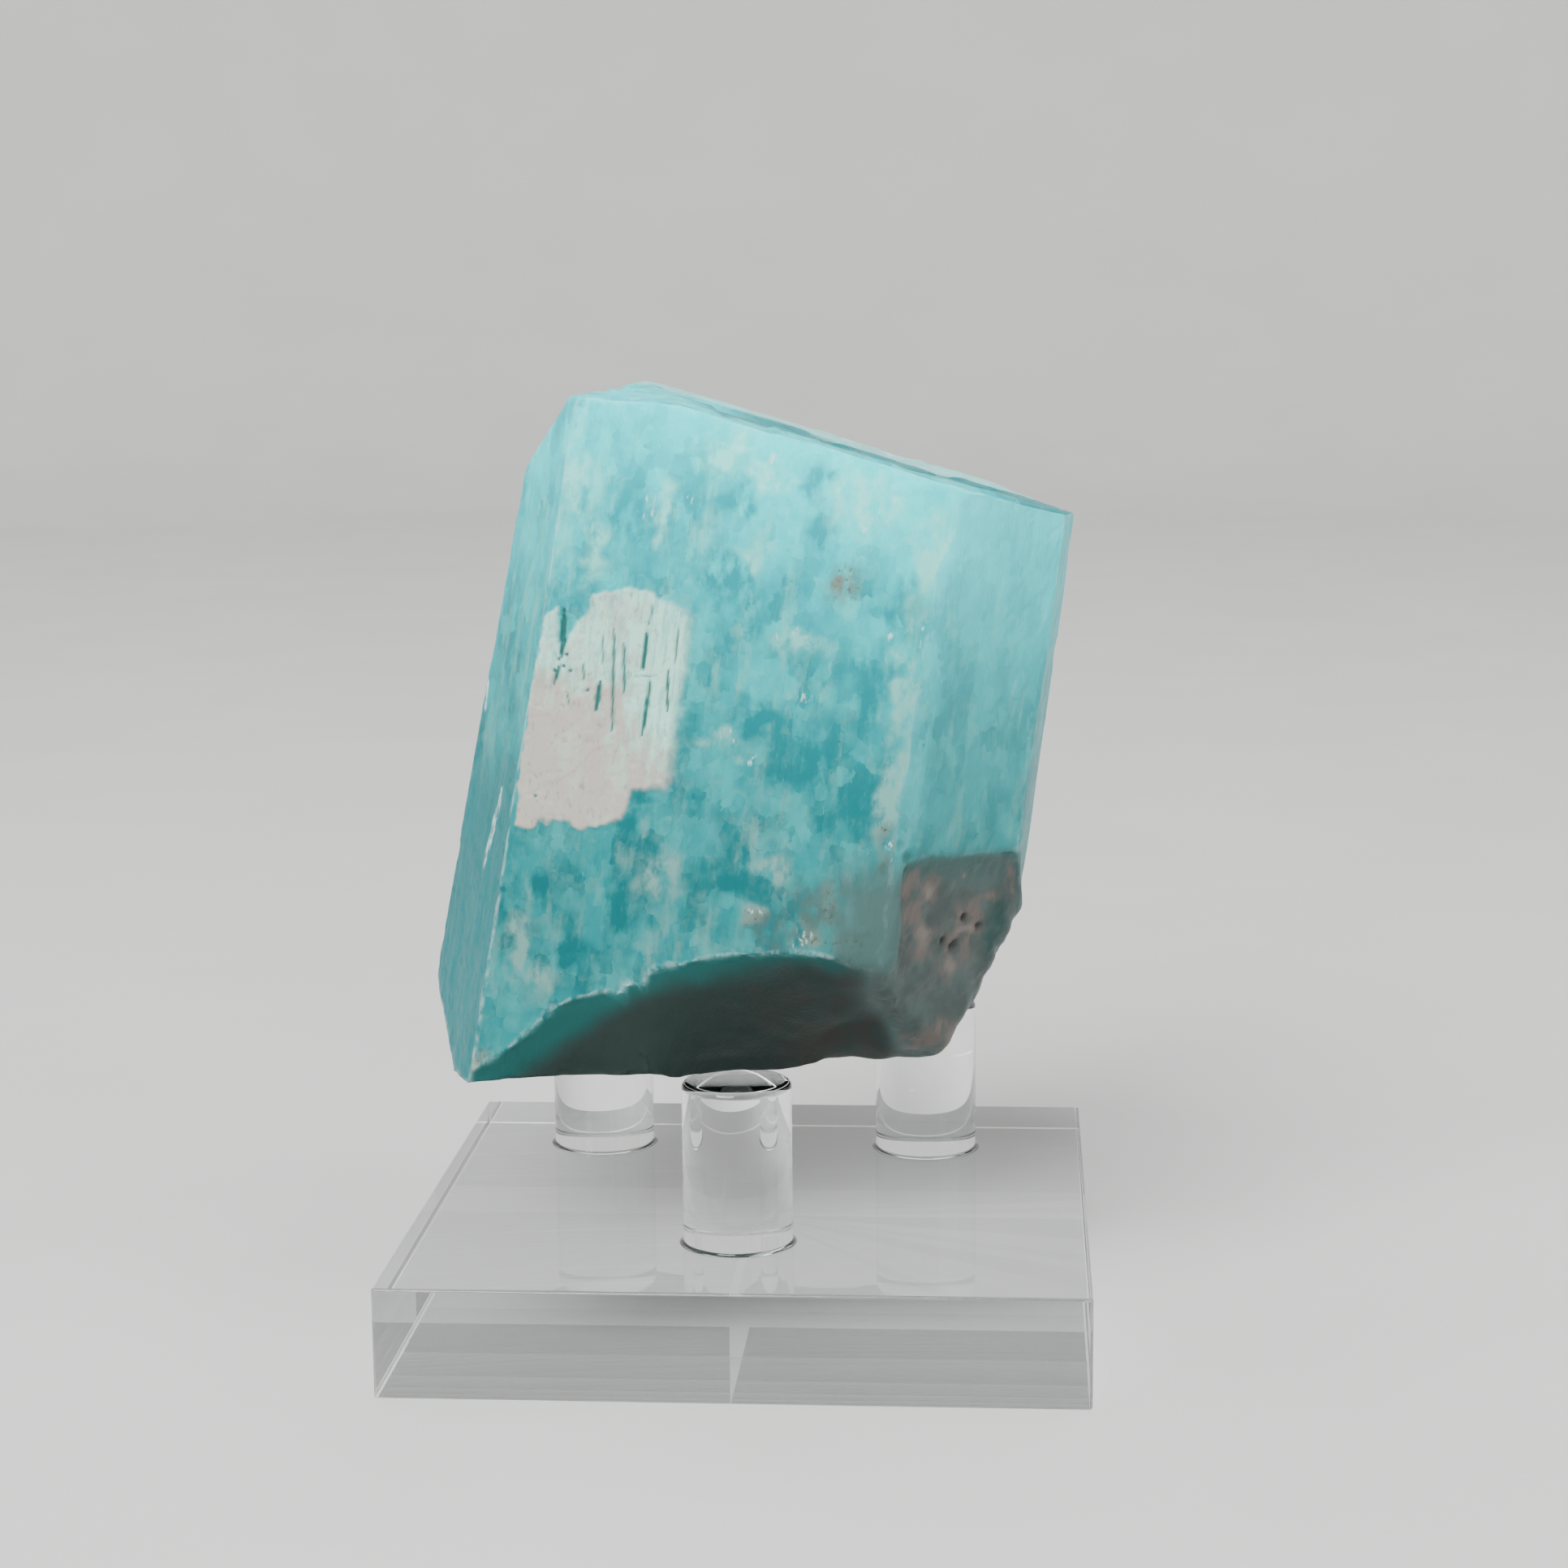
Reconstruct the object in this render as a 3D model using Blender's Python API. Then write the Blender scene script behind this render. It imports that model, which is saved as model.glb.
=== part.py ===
# Amazonite crystal resting on a clear three-peg stand.
# Origin: centre of the underside of the stand's block. +Z up, the crystal's main face looks to -Y.

import math

import bmesh
import bpy
import numpy as np
from mathutils import Matrix, Vector, noise

MM = 0.001

# stand, mm
BLOCK_SIDE = 50.0
BLOCK_HEIGHT = 8.0
BLOCK_BEVEL = 0.25
PEG_DIAMETER = 8.0
PEG_HEIGHT = 12.0
PEG_BEVEL = 0.3
PEG_SIDES = 40
PEG_CENTRES = {
    "post_front": (-0.4, -12.8),
    "post_back_right": (12.5, 12.8),
    "post_back_left": (-13.5, 13.2),
}

# crystal, mm and degrees
SEAT_GAP = 0.3                      # between the pegs' tops and the crystal's foot
FOOT_Z = BLOCK_HEIGHT + PEG_HEIGHT + SEAT_GAP
CRYSTAL_CENTRE = Vector((0.0, 0.0, 45.0))

# Each flat face: azimuth round Z from -Y towards +X, tilt above the horizon,
# distance from CRYSTAL_CENTRE.
PRISM_FACES = {
    "front": (-5.7, 4.0, 16.3),
    "right": (47.5, -3.2, 21.3),
    "left": (-63.2, 10.1, 19.85),
    "side_right": (83.0, -7.0, 21.85),
    "side_left": (-97.1, 11.2, 18.3),
    "back": (174.0, -1.5, 16.4),
    "back_right": (108.0, -9.1, 19.65),
    "back_left": (-130.0, -4.0, 22.6),
}
TERMINATION_FACES = {
    "top": (97.0, 73.2, 20.95),
    "top_left": (82.0, 86.2, 23.35),
    "chamfer_left": (-95.0, 41.0, 23.65),
    "bevel": (5.5, 21.7, 21.8),
    "bevel_low": (1.0, 12.5, 19.05),
}
BROKEN_FACES = {
    "foot": (0.0, -90.0, CRYSTAL_CENTRE.z - FOOT_Z),
    "break_left": (-86.0, -19.0, 28.65),
    "break_right": (84.0, -25.0, 24.1),
    "heel_right": (84.0, -37.0, 25.95),
}

# Scooped fracture under the front face: place across (x), height of its ridge on the front face (z)
# and depth of its heel on the foot (y).
SCOOP = [
    (-24.0, 18.8, -16.6),
    (-18.7, 21.7, -15.8),
    (-16.4, 23.1, -15.3),
    (-13.6, 24.8, -14.8),
    (-10.4, 27.1, -14.0),
    (-7.0, 28.9, -14.4),
    (-4.5, 29.4, -12.6),
    (-1.5, 29.7, -10.9),
    (2.3, 30.1, -10.5),
    (5.0, 30.4, -9.6),
    (8.2, 29.2, -7.2),
    (11.4, 28.2, -6.5),
    (20.0, 26.5, -6.5),
]
SCOOP_STEP = 1.6                    # spacing of the rulings that make its sheet
SCOOP_OVERRUN = 0.5                 # how far the cut runs past ridge and heel, as a share of its width
SCOOP_SWEEP = Vector((0.0, -26.0, -12.0))

# Ledge broken out of the right face: planes as above, through a point each.
LEDGE_FLOOR = (50.0, -11.0, Vector((14.9, -13.7, 36.3)))
LEDGE_ROOF = (40.0, -70.0, Vector((15.6, -14.1, 36.3)))
LEDGE_WALL = (97.0, 0.0, Vector((12.0, -18.0, 36.5)))
# Step left by a lost growth on the back.
STEP_FLOOR = (176.0, -3.0, Vector((4.0, 15.2, 40.0)))
STEP_ROOF = (176.0, -78.0, Vector((4.0, 16.0, 38.0)))
STEP_WALL = (93.0, -4.0, Vector((-3.5, 16.0, 34.0)))

# surface lattice, mm
LATTICE = 2.15
SNAP = 0.3                          # lattice planes closer to a corner than this pass through it
MERGE = 0.2                         # corners closer than this become one
SCOOP_MERGE = 0.55
SLIVER = 0.02                       # mm2: facets smaller than this don't steer the relief
SAME_TURN = 0.985                   # a facet belongs to the plane that it's turned like (cosine)
SAME_DEPTH = 0.3                    # and lies this close to, mm

# relief over the flat planes, mm: heights, and widths of the waves
FACE_WAVE = 0.07
FACE_WIDTH = 13.0
STRIATION = 0.06
STRIATION_WIDTH = 1.7
STRIATION_LENGTH = 22.0
FRACTURE_WAVE = 0.45
FRACTURE_WIDTH = 7.0
ROUGH_WAVE = 0.4
ROUGH_WIDTH = 3.2
FINE_SHARE = 0.4                    # finer waves, as a share of the coarse ones' height and width
SINK = 0.1                          # broken surfaces lie this far under their planes
FOOT_HOLLOW = 0.9
FOOT_EDGE_HOLLOW = 0.2
FOOT_WIDTH = 6.0
SEAT_RADIUS = 5.2                   # flat spots of the foot over the pegs
SEAT_BLEND = 3.0
CHIP = 0.3                          # of a broken edge; an edge between two crystal faces has less
CRISP_CHIP = 0.1
CHIP_WIDTH = 2.6
SCOOP_SMOOTHING = 6                 # passes that round the scoop between its rulings


def face_normal(azimuth, tilt):
    a, t = math.radians(azimuth), math.radians(tilt)
    return Vector((math.sin(a) * math.cos(t), -math.cos(a) * math.cos(t), math.sin(t)))


def clear_scene():
    for obj in list(bpy.data.objects):
        bpy.data.objects.remove(obj, do_unlink=True)


def material(name, colour, roughness, transmission=0.0, ior=1.5):
    mat = bpy.data.materials.new(name)
    mat.use_nodes = True
    shader = mat.node_tree.nodes["Principled BSDF"]
    shader.inputs["Base Color"].default_value = (*colour, 1.0)
    shader.inputs["Roughness"].default_value = roughness
    shader.inputs["Metallic"].default_value = 0.0
    shader.inputs["IOR"].default_value = ior
    shader.inputs["Transmission Weight"].default_value = transmission
    return mat


def add_object(name, bm, mat=None):
    mesh = bpy.data.meshes.new(name)
    bm.to_mesh(mesh)
    bm.free()
    if mat:
        mesh.materials.append(mat)
    obj = bpy.data.objects.new(name, mesh)
    bpy.context.scene.collection.objects.link(obj)
    return obj


def cut_away(bm, point, normal):
    """Remove what lies past the plane and close the cut with one face."""
    cut = bmesh.ops.bisect_plane(bm, geom=bm.verts[:] + bm.edges[:] + bm.faces[:], dist=1e-5,
                                 plane_co=point, plane_no=normal, clear_outer=True)
    edges = [e for e in cut["geom_cut"] if isinstance(e, bmesh.types.BMEdge)]
    if edges:
        bmesh.ops.edgeloop_fill(bm, edges=edges)


def block():
    bm = bmesh.new()
    bmesh.ops.create_cube(bm, size=1.0)
    bmesh.ops.scale(bm, vec=(BLOCK_SIDE * MM, BLOCK_SIDE * MM, BLOCK_HEIGHT * MM), verts=bm.verts)
    bmesh.ops.translate(bm, vec=(0, 0, BLOCK_HEIGHT * MM / 2), verts=bm.verts)
    bmesh.ops.bevel(bm, geom=bm.edges[:], offset=BLOCK_BEVEL * MM, segments=1, profile=0.5,
                    affect="EDGES", material=-1)
    return add_object("base_block", bm, material("clear_acrylic", (0.95, 0.96, 0.97), 0.03, 1.0, 1.49))


def post(name, centre, mat):
    bm = bmesh.new()
    radius = PEG_DIAMETER / 2 * MM
    bmesh.ops.create_cone(bm, cap_ends=True, segments=PEG_SIDES, radius1=radius, radius2=radius,
                          depth=PEG_HEIGHT * MM)
    bmesh.ops.translate(bm, vec=(centre[0] * MM, centre[1] * MM, (BLOCK_HEIGHT + PEG_HEIGHT / 2) * MM),
                        verts=bm.verts)
    top = (BLOCK_HEIGHT + PEG_HEIGHT) * MM
    rim = [e for e in bm.edges if all(abs(v.co.z - top) < 1e-6 for v in e.verts)]
    bmesh.ops.bevel(bm, geom=rim, offset=PEG_BEVEL * MM, segments=2, profile=0.5,
                    affect="EDGES", material=-1)
    obj = add_object(name, bm, mat)
    obj.data.shade_smooth()
    obj.data.set_sharp_from_angle(angle=math.radians(40))
    return obj


def crystal_blank():
    """The whole crystal as flat faces, before anything broke off it."""
    bm = bmesh.new()
    bmesh.ops.create_cube(bm, size=140 * MM, matrix=Matrix.Translation(CRYSTAL_CENTRE * MM))
    for azimuth, tilt, distance in (PRISM_FACES | TERMINATION_FACES | BROKEN_FACES).values():
        normal = face_normal(azimuth, tilt)
        cut_away(bm, (CRYSTAL_CENTRE + normal * distance) * MM, normal)
    bmesh.ops.recalc_face_normals(bm, faces=bm.faces)
    return bm


def front_y(x, z):
    """Depth of the front face at a place seen from the front."""
    azimuth, tilt, distance = PRISM_FACES["front"]
    n = face_normal(azimuth, tilt)
    c = CRYSTAL_CENTRE
    return c.y + (distance - n.x * (x - c.x) - n.z * (z - c.z)) / n.y


def scoop_cutter():
    """A ruled sheet from ridge to heel, swept forward and down into a closed body."""
    bm = bmesh.new()
    xs, ridges, heels = zip(*SCOOP)
    rows = []
    for x in np.arange(xs[0], xs[-1], SCOOP_STEP):
        ridge_z = np.interp(x, xs, ridges)
        ridge = Vector((x, front_y(x, ridge_z), ridge_z))
        heel = Vector((x, np.interp(x, xs, heels), FOOT_Z))
        reach = (heel - ridge) * SCOOP_OVERRUN
        rows.append([bm.verts.new(p * MM) for p in (ridge - reach, ridge, heel, heel + reach)])
    sheet = []
    for near, far in zip(rows, rows[1:]):
        sheet += [bm.faces.new((near[i], near[i + 1], far[i + 1], far[i])) for i in range(3)]
    swept = bmesh.ops.extrude_face_region(bm, geom=sheet)
    moved = [v for v in swept["geom"] if isinstance(v, bmesh.types.BMVert)]
    bmesh.ops.translate(bm, vec=SCOOP_SWEEP * MM, verts=moved)
    bmesh.ops.triangulate(bm, faces=bm.faces)
    bmesh.ops.recalc_face_normals(bm, faces=bm.faces)
    return bm


def corner_cutter(floor, roof, wall, size=60.0):
    """What lies outside the floor, below the roof and beside the wall."""
    bm = bmesh.new()
    bmesh.ops.create_cube(bm, size=size * MM, matrix=Matrix.Translation(floor[2] * MM))
    for azimuth, tilt, point in (floor, roof, wall):
        cut_away(bm, point * MM, -face_normal(azimuth, tilt))
    bmesh.ops.recalc_face_normals(bm, faces=bm.faces)
    return bm


def broken_crystal():
    """The blank less the scoop, the ledge and the step, as one bmesh."""
    body = add_object("crystal_blank", crystal_blank())
    cutters = [add_object("scoop_cutter", scoop_cutter()),
               add_object("ledge_cutter", corner_cutter(LEDGE_FLOOR, LEDGE_ROOF, LEDGE_WALL)),
               add_object("step_cutter", corner_cutter(STEP_FLOOR, STEP_ROOF, STEP_WALL))]
    for cutter in cutters:
        cut = body.modifiers.new(cutter.name, "BOOLEAN")
        cut.operation = "DIFFERENCE"
        cut.solver = "EXACT"
        cut.object = cutter
    evaluated = body.evaluated_get(bpy.context.evaluated_depsgraph_get())
    bm = bmesh.new()
    bm.from_mesh(evaluated.to_mesh())
    evaluated.to_mesh_clear()
    for obj in [body] + cutters:
        bpy.data.objects.remove(obj, do_unlink=True)
    bmesh.ops.remove_doubles(bm, verts=bm.verts, dist=0.01 * MM)
    return bm


def crystal_axes():
    """Long axis of the prism, the direction across the front face, and out of the front face."""
    out = face_normal(*PRISM_FACES["front"][:2])
    along = out.cross(face_normal(*PRISM_FACES["right"][:2])).normalized()
    if along.z < 0:
        along.negate()
    return along.cross(out).normalized(), out, along


def slice_lattice(bm, axes):
    """Score the surface with evenly spaced planes along the crystal's own axes."""
    for axis in axes:
        reach = [axis.dot(v.co / MM - CRYSTAL_CENTRE) for v in bm.verts]
        first = math.ceil(min(reach) / LATTICE)
        last = math.floor(max(reach) / LATTICE)
        for k in range(first, last + 1):
            bmesh.ops.bisect_plane(bm, geom=bm.verts[:] + bm.edges[:] + bm.faces[:], dist=SNAP * MM,
                                   plane_co=(CRYSTAL_CENTRE + axis * (k * LATTICE)) * MM, plane_no=axis)


def plane_kinds():
    """Every named plane with its normal and distance from the centre."""
    kinds = {}
    for name, (azimuth, tilt, distance) in (PRISM_FACES | TERMINATION_FACES | BROKEN_FACES).items():
        kinds[name] = (face_normal(azimuth, tilt), distance)
    for name, (azimuth, tilt, point) in {"ledge_floor": LEDGE_FLOOR, "ledge_roof": LEDGE_ROOF,
                                         "ledge_wall": LEDGE_WALL, "step_floor": STEP_FLOOR,
                                         "step_roof": STEP_ROOF, "step_wall": STEP_WALL}.items():
        normal = face_normal(azimuth, tilt)
        kinds[name] = (normal, normal.dot(point - CRYSTAL_CENTRE))
    return kinds


def kind_of(face, kinds):
    """Name of the plane that a facet lies in, or nearly; what lies in none belongs to the scoop."""
    centre = face.calc_center_median() / MM - CRYSTAL_CENTRE
    closest, found = SAME_TURN, "scoop"
    for name, (normal, distance) in kinds.items():
        turn = face.normal.dot(normal)
        if turn > closest and abs(normal.dot(centre) - distance) < SAME_DEPTH:
            closest, found = turn, name
    return found


def merge_corners(bm, kinds):
    """Take out the slivers where lattice and broken edges nearly meet."""
    bm.normal_update()
    scoop = [v for v in bm.verts if any(kind_of(face, kinds) == "scoop" for face in v.link_faces)]
    bmesh.ops.remove_doubles(bm, verts=scoop, dist=SCOOP_MERGE * MM)
    bm.normal_update()
    found = {v: {kind_of(face, kinds) for face in v.link_faces} for v in bm.verts}
    ridge = [v for v in bm.verts if "scoop" in found[v] and len(found[v]) > 1]
    inner = [v for v in bm.verts if len(found[v]) == 1]
    near = bmesh.ops.find_doubles(bm, verts=inner + ridge, keep_verts=ridge, dist=SCOOP_MERGE * MM)
    bmesh.ops.weld_verts(bm, targetmap=near["targetmap"])
    bmesh.ops.remove_doubles(bm, verts=bm.verts, dist=MERGE * MM)
    bmesh.ops.dissolve_degenerate(bm, dist=MERGE / 2 * MM, edges=bm.edges)
    bm.normal_update()


def wave(p, size, seed):
    """Smooth noise in -1..1 with features about as wide as size, in mm."""
    return noise.noise(p / size + Vector((seed, seed * 1.7, seed * 0.6)))


def broken_relief(p, height, width):
    """Two scales of waves a little under the plane."""
    return height * (wave(p, width, 3.1) + FINE_SHARE * wave(p, FINE_SHARE * width, 5.3)) - SINK


def relief(kind, p, axes, at_edge):
    """Height of a facet's surface over its flat plane at p, mm."""
    if kind == "foot":
        off_seat = min(math.dist(p.xy, centre) for centre in PEG_CENTRES.values()) - SEAT_RADIUS
        depth = FOOT_EDGE_HOLLOW if at_edge else FOOT_HOLLOW
        return -depth * (1.0 + wave(p, FOOT_WIDTH, 8.2)) * min(1.0, max(0.0, off_seat / SEAT_BLEND))
    if kind in BROKEN_FACES or kind == "scoop":
        return broken_relief(p, FRACTURE_WAVE, FRACTURE_WIDTH)
    if kind.startswith(("ledge", "step")):
        return broken_relief(p, ROUGH_WAVE, ROUGH_WIDTH)
    across, out, along = (axis.dot(p - CRYSTAL_CENTRE) for axis in axes)
    stripe = Vector((across / STRIATION_WIDTH, out / STRIATION_WIDTH, along / STRIATION_LENGTH))
    return FACE_WAVE * wave(p, FACE_WIDTH, 2.2) + STRIATION * noise.noise(stripe)


def raise_relief(bm, kinds, axes):
    """Move each vertex so that it lies at the relief height of every plane that meets there."""
    label = {face: kind_of(face, kinds) for face in bm.faces}
    moves = {}
    for vert in bm.verts:
        p = vert.co / MM
        normals = {}
        for face in vert.link_faces:
            if face.calc_area() > SLIVER * MM * MM:
                normals.setdefault(label[face], []).append(face.normal)
        rows, heights = [], []
        for kind, found in normals.items():
            mean = sum(found, Vector()).normalized()
            rows.append(mean)
            heights.append(relief(kind, p, axes, len(normals) > 1))
        if len(rows) > 1 and "foot" not in normals:
            crisp = all(kind in PRISM_FACES or kind in TERMINATION_FACES for kind in normals)
            chip = (CRISP_CHIP if crisp else CHIP) * max(0.0, wave(p, CHIP_WIDTH, 9.9))
            heights = [height - chip for height in heights]
        if rows:
            # rcond keeps planes that are nearly parallel from throwing the corner far off
            moves[vert] = Vector(np.linalg.lstsq(np.array(rows), np.array(heights), rcond=0.25)[0]) * MM
    for vert, shift in moves.items():
        vert.co += shift
    inner = [v for v in bm.verts if all(label[face] == "scoop" for face in v.link_faces)]
    for _ in range(SCOOP_SMOOTHING):
        bmesh.ops.smooth_vert(bm, verts=inner, factor=0.5, use_axis_x=True, use_axis_y=True, use_axis_z=True)
    for vert in bm.verts:
        vert.co.z = max(vert.co.z, FOOT_Z * MM)


def crystal():
    axes = crystal_axes()
    bm = broken_crystal()
    slice_lattice(bm, axes)
    kinds = plane_kinds()
    merge_corners(bm, kinds)
    raise_relief(bm, kinds, axes)
    bmesh.ops.triangulate(bm, faces=bm.faces, quad_method="BEAUTY", ngon_method="BEAUTY")
    bmesh.ops.recalc_face_normals(bm, faces=bm.faces)
    return add_object("amazonite_crystal", bm, material("amazonite", (0.22, 0.55, 0.55), 0.35))


clear_scene()
acrylic = block().data.materials[0]
for post_name, post_centre in PEG_CENTRES.items():
    post(post_name, post_centre, acrylic)
crystal()
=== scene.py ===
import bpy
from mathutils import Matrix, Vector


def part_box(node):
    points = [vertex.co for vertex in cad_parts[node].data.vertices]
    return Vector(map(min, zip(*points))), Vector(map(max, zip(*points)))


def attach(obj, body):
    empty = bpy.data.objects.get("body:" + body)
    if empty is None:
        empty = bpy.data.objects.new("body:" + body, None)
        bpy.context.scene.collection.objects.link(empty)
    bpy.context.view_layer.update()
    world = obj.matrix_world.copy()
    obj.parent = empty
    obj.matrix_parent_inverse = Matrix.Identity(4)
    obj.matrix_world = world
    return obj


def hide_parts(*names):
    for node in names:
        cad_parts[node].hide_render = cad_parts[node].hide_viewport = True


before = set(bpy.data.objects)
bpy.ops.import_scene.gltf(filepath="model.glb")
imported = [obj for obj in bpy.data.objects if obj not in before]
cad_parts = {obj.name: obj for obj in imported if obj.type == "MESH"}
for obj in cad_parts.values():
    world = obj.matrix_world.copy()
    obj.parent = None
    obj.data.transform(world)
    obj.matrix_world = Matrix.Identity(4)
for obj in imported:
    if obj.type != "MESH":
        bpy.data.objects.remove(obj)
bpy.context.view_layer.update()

import math
from types import SimpleNamespace

import bmesh
import bpy
import numpy as np
from mathutils import Matrix, Vector, noise

mm = 0.001
weld = 0.001 * mm                       # points of a turned shape that are this close become one

# The crystal as the solid has it: a face is azimuth, tilt and distance from the centre, mm.
crystalForm = {
    "centre": (0.0, 0.0, 45.0),
    "faces": {
        "front": (-5.7, 4.0, 16.3),
        "bevel": (5.5, 21.7, 21.8),
        "bevelLow": (1.0, 12.5, 19.05),
        "right": (47.5, -3.2, 21.3),
        "left": (-63.2, 10.1, 19.85),
        "sideRight": (83.0, -7.0, 21.85),
        "sideLeft": (-97.1, 11.2, 18.3),
        "back": (174.0, -1.5, 16.4),
        "backRight": (108.0, -9.1, 19.65),
        "backLeft": (-130.0, -4.0, 22.6),
        "top": (97.0, 73.2, 20.95),
        "topLeft": (82.0, 86.2, 23.35),
        "chamferLeft": (-95.0, 41.0, 23.65),
    },
    "softly": ("front", "bevel", "bevelLow"),       # these run into each other without an edge
    "roundly": ("front", "right"),                  # the edge between these is worn round
    # painted sheen: these faces are painted greyer, paler and more even
    "cool": ("right", "sideRight", "backRight"),    # faces with a greyer sheen
    "crown": ("top", "topLeft"),
    "sameTurn": 0.93,                   # a facet belongs to the face that it's turned like (cosine)
    "sameDepth": 0.5,                   # and lies this close to, mm
}


def direction(azimuth, tilt):
    a, t = math.radians(azimuth), math.radians(tilt)
    return Vector((math.sin(a) * math.cos(t), -math.cos(a) * math.cos(t), math.sin(t)))


# across the front face, out of it, and along the prism
axisOut = direction(*crystalForm["faces"]["front"][:2])
axisAlong = axisOut.cross(direction(*crystalForm["faces"]["right"][:2])).normalized()
axisAlong *= math.copysign(1.0, axisAlong.z)
axisAcross = axisAlong.cross(axisOut).normalized()
crystalCentre = Vector(crystalForm["centre"])


def addNode(tree, kind, values=None, **settings):
    made = tree.nodes.new("ShaderNode" + kind)
    for name, value in settings.items():
        setattr(made, name, value)
    for socket, value in (values or {}).items():
        if isinstance(value, bpy.types.NodeSocket):
            tree.links.new(value, made.inputs[socket])
        else:
            made.inputs[socket].default_value = value
    return made


def paint(red, green, blue):            # linear reflectance
    return (red, green, blue, 1.0)


def mixColour(tree, share, low, high):
    return addNode(tree, "Mix", {0: share, 6: low, 7: high}, data_type="RGBA").outputs[2]


def times(tree, value, factor):
    return addNode(tree, "Math", {0: value, 1: factor}, operation="MULTIPLY", use_clamp=True).outputs[0]


def both(tree, first, second):
    return addNode(tree, "Math", {0: first, 1: second}, operation="MULTIPLY").outputs[0]


def vectorMath(tree, operation, *values):
    return addNode(tree, "VectorMath", dict(enumerate(values)), operation=operation).outputs[0]


def ramp(tree, value, low, high):       # 0 below low, 1 above high
    return addNode(tree, "MapRange", {"Value": value, "From Min": low, "From Max": high},
                   interpolation_type="SMOOTHSTEP").outputs[0]


def readMask(tree, name):
    return addNode(tree, "Attribute", attribute_name=name).outputs["Fac"]


def newGroup(name, inputs, outputs):
    tree = bpy.data.node_groups.new(name, "ShaderNodeTree")
    for label, kind, value in inputs:
        made = tree.interface.new_socket(label, in_out="INPUT", socket_type="NodeSocket" + kind)
        if value is not None:
            made.default_value = value
    for label, kind in outputs:
        tree.interface.new_socket(label, in_out="OUTPUT", socket_type="NodeSocket" + kind)
    return tree, tree.nodes.new("NodeGroupInput").outputs, tree.nodes.new("NodeGroupOutput").inputs


effects = {
    "streakRoughness": 0.6,             # of the noise in the streaks
    # small blocks: how finely and how far their edges waver, and how unevenly they stand
    "waverScale": 1.3,
    "waverDetail": 3.0,
    "waver": (0.9, 0.9, 0.9),
    "unevenness": 0.8,
}


def placeGroup():
    # object coordinates turned to the crystal: mm across, out and along
    tree, _, result = newGroup("crystal place", [], [("Place", "Vector"), ("Along", "Float")])
    coords = addNode(tree, "TexCoord").outputs["Object"]
    centred = vectorMath(tree, "SUBTRACT", coords, crystalCentre * mm)
    parts = [addNode(tree, "VectorMath", {0: centred, 1: axis / mm}, operation="DOT_PRODUCT").outputs["Value"]
             for axis in (axisAcross, axisOut, axisAlong)]
    tree.links.new(addNode(tree, "CombineXYZ", dict(enumerate(parts))).outputs[0], result["Place"])
    tree.links.new(parts[2], result["Along"])
    return tree


def streakGroup():
    # noise stretched along the crystal, Width and Length in mm; Mask rises from Low to High
    tree, given, result = newGroup(
        "crystal streaks",
        [("Place", "Vector", None), ("Width", "Float", 1.0), ("Length", "Float", 5.0), ("Seed", "Float", 0.0),
         ("Detail", "Float", 3.0), ("Low", "Float", 0.4), ("High", "Float", 0.6)],
        [("Mask", "Float")])
    size = addNode(tree, "CombineXYZ", {0: given["Width"], 1: given["Width"], 2: given["Length"]}).outputs[0]
    moved = vectorMath(tree, "ADD", vectorMath(tree, "DIVIDE", given["Place"], size), given["Seed"])
    pattern = addNode(tree, "TexNoise", {"Vector": moved, "Scale": 1.0, "Detail": given["Detail"],
                                         "Roughness": effects["streakRoughness"]}).outputs["Fac"]
    tree.links.new(ramp(tree, pattern, given["Low"], given["High"]), result["Mask"])
    return tree


groups = {"place": placeGroup(), "streaks": streakGroup()}


def streaks(tree, place, width, length, seed, low, high, detail):
    made = tree.nodes.new("ShaderNodeGroup")
    made.node_tree = groups["streaks"]
    tree.links.new(place, made.inputs["Place"])
    for name, value in {"Width": width, "Length": length, "Seed": seed, "Low": low, "High": high,
                        "Detail": detail}.items():
        made.inputs[name].default_value = value
    return made.outputs["Mask"]


def blocky(tree, place, width, length, share):
    # places drawn towards the middles of small upright blocks, like the crystal's grid of twins
    size = (width, width, length)
    scaled = vectorMath(tree, "DIVIDE", place, size)
    waver = addNode(tree, "TexNoise", {"Vector": scaled, "Scale": effects["waverScale"],
                                       "Detail": effects["waverDetail"]}).outputs["Color"]
    moved = vectorMath(tree, "MULTIPLY_ADD", waver, effects["waver"], scaled)
    middle = addNode(tree, "TexVoronoi", {"Vector": moved, "Scale": 1.0, "Randomness": effects["unevenness"]},
                     distance="CHEBYCHEV").outputs["Position"]
    whole = vectorMath(tree, "MULTIPLY", middle, size)
    return addNode(tree, "Mix", {"Factor": share, 4: place, 5: whole}, data_type="VECTOR").outputs[1]


def newMaterial(name):
    mat = bpy.data.materials.new(name)
    mat.use_nodes = True
    return mat, mat.node_tree, mat.node_tree.nodes["Principled BSDF"]


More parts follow.
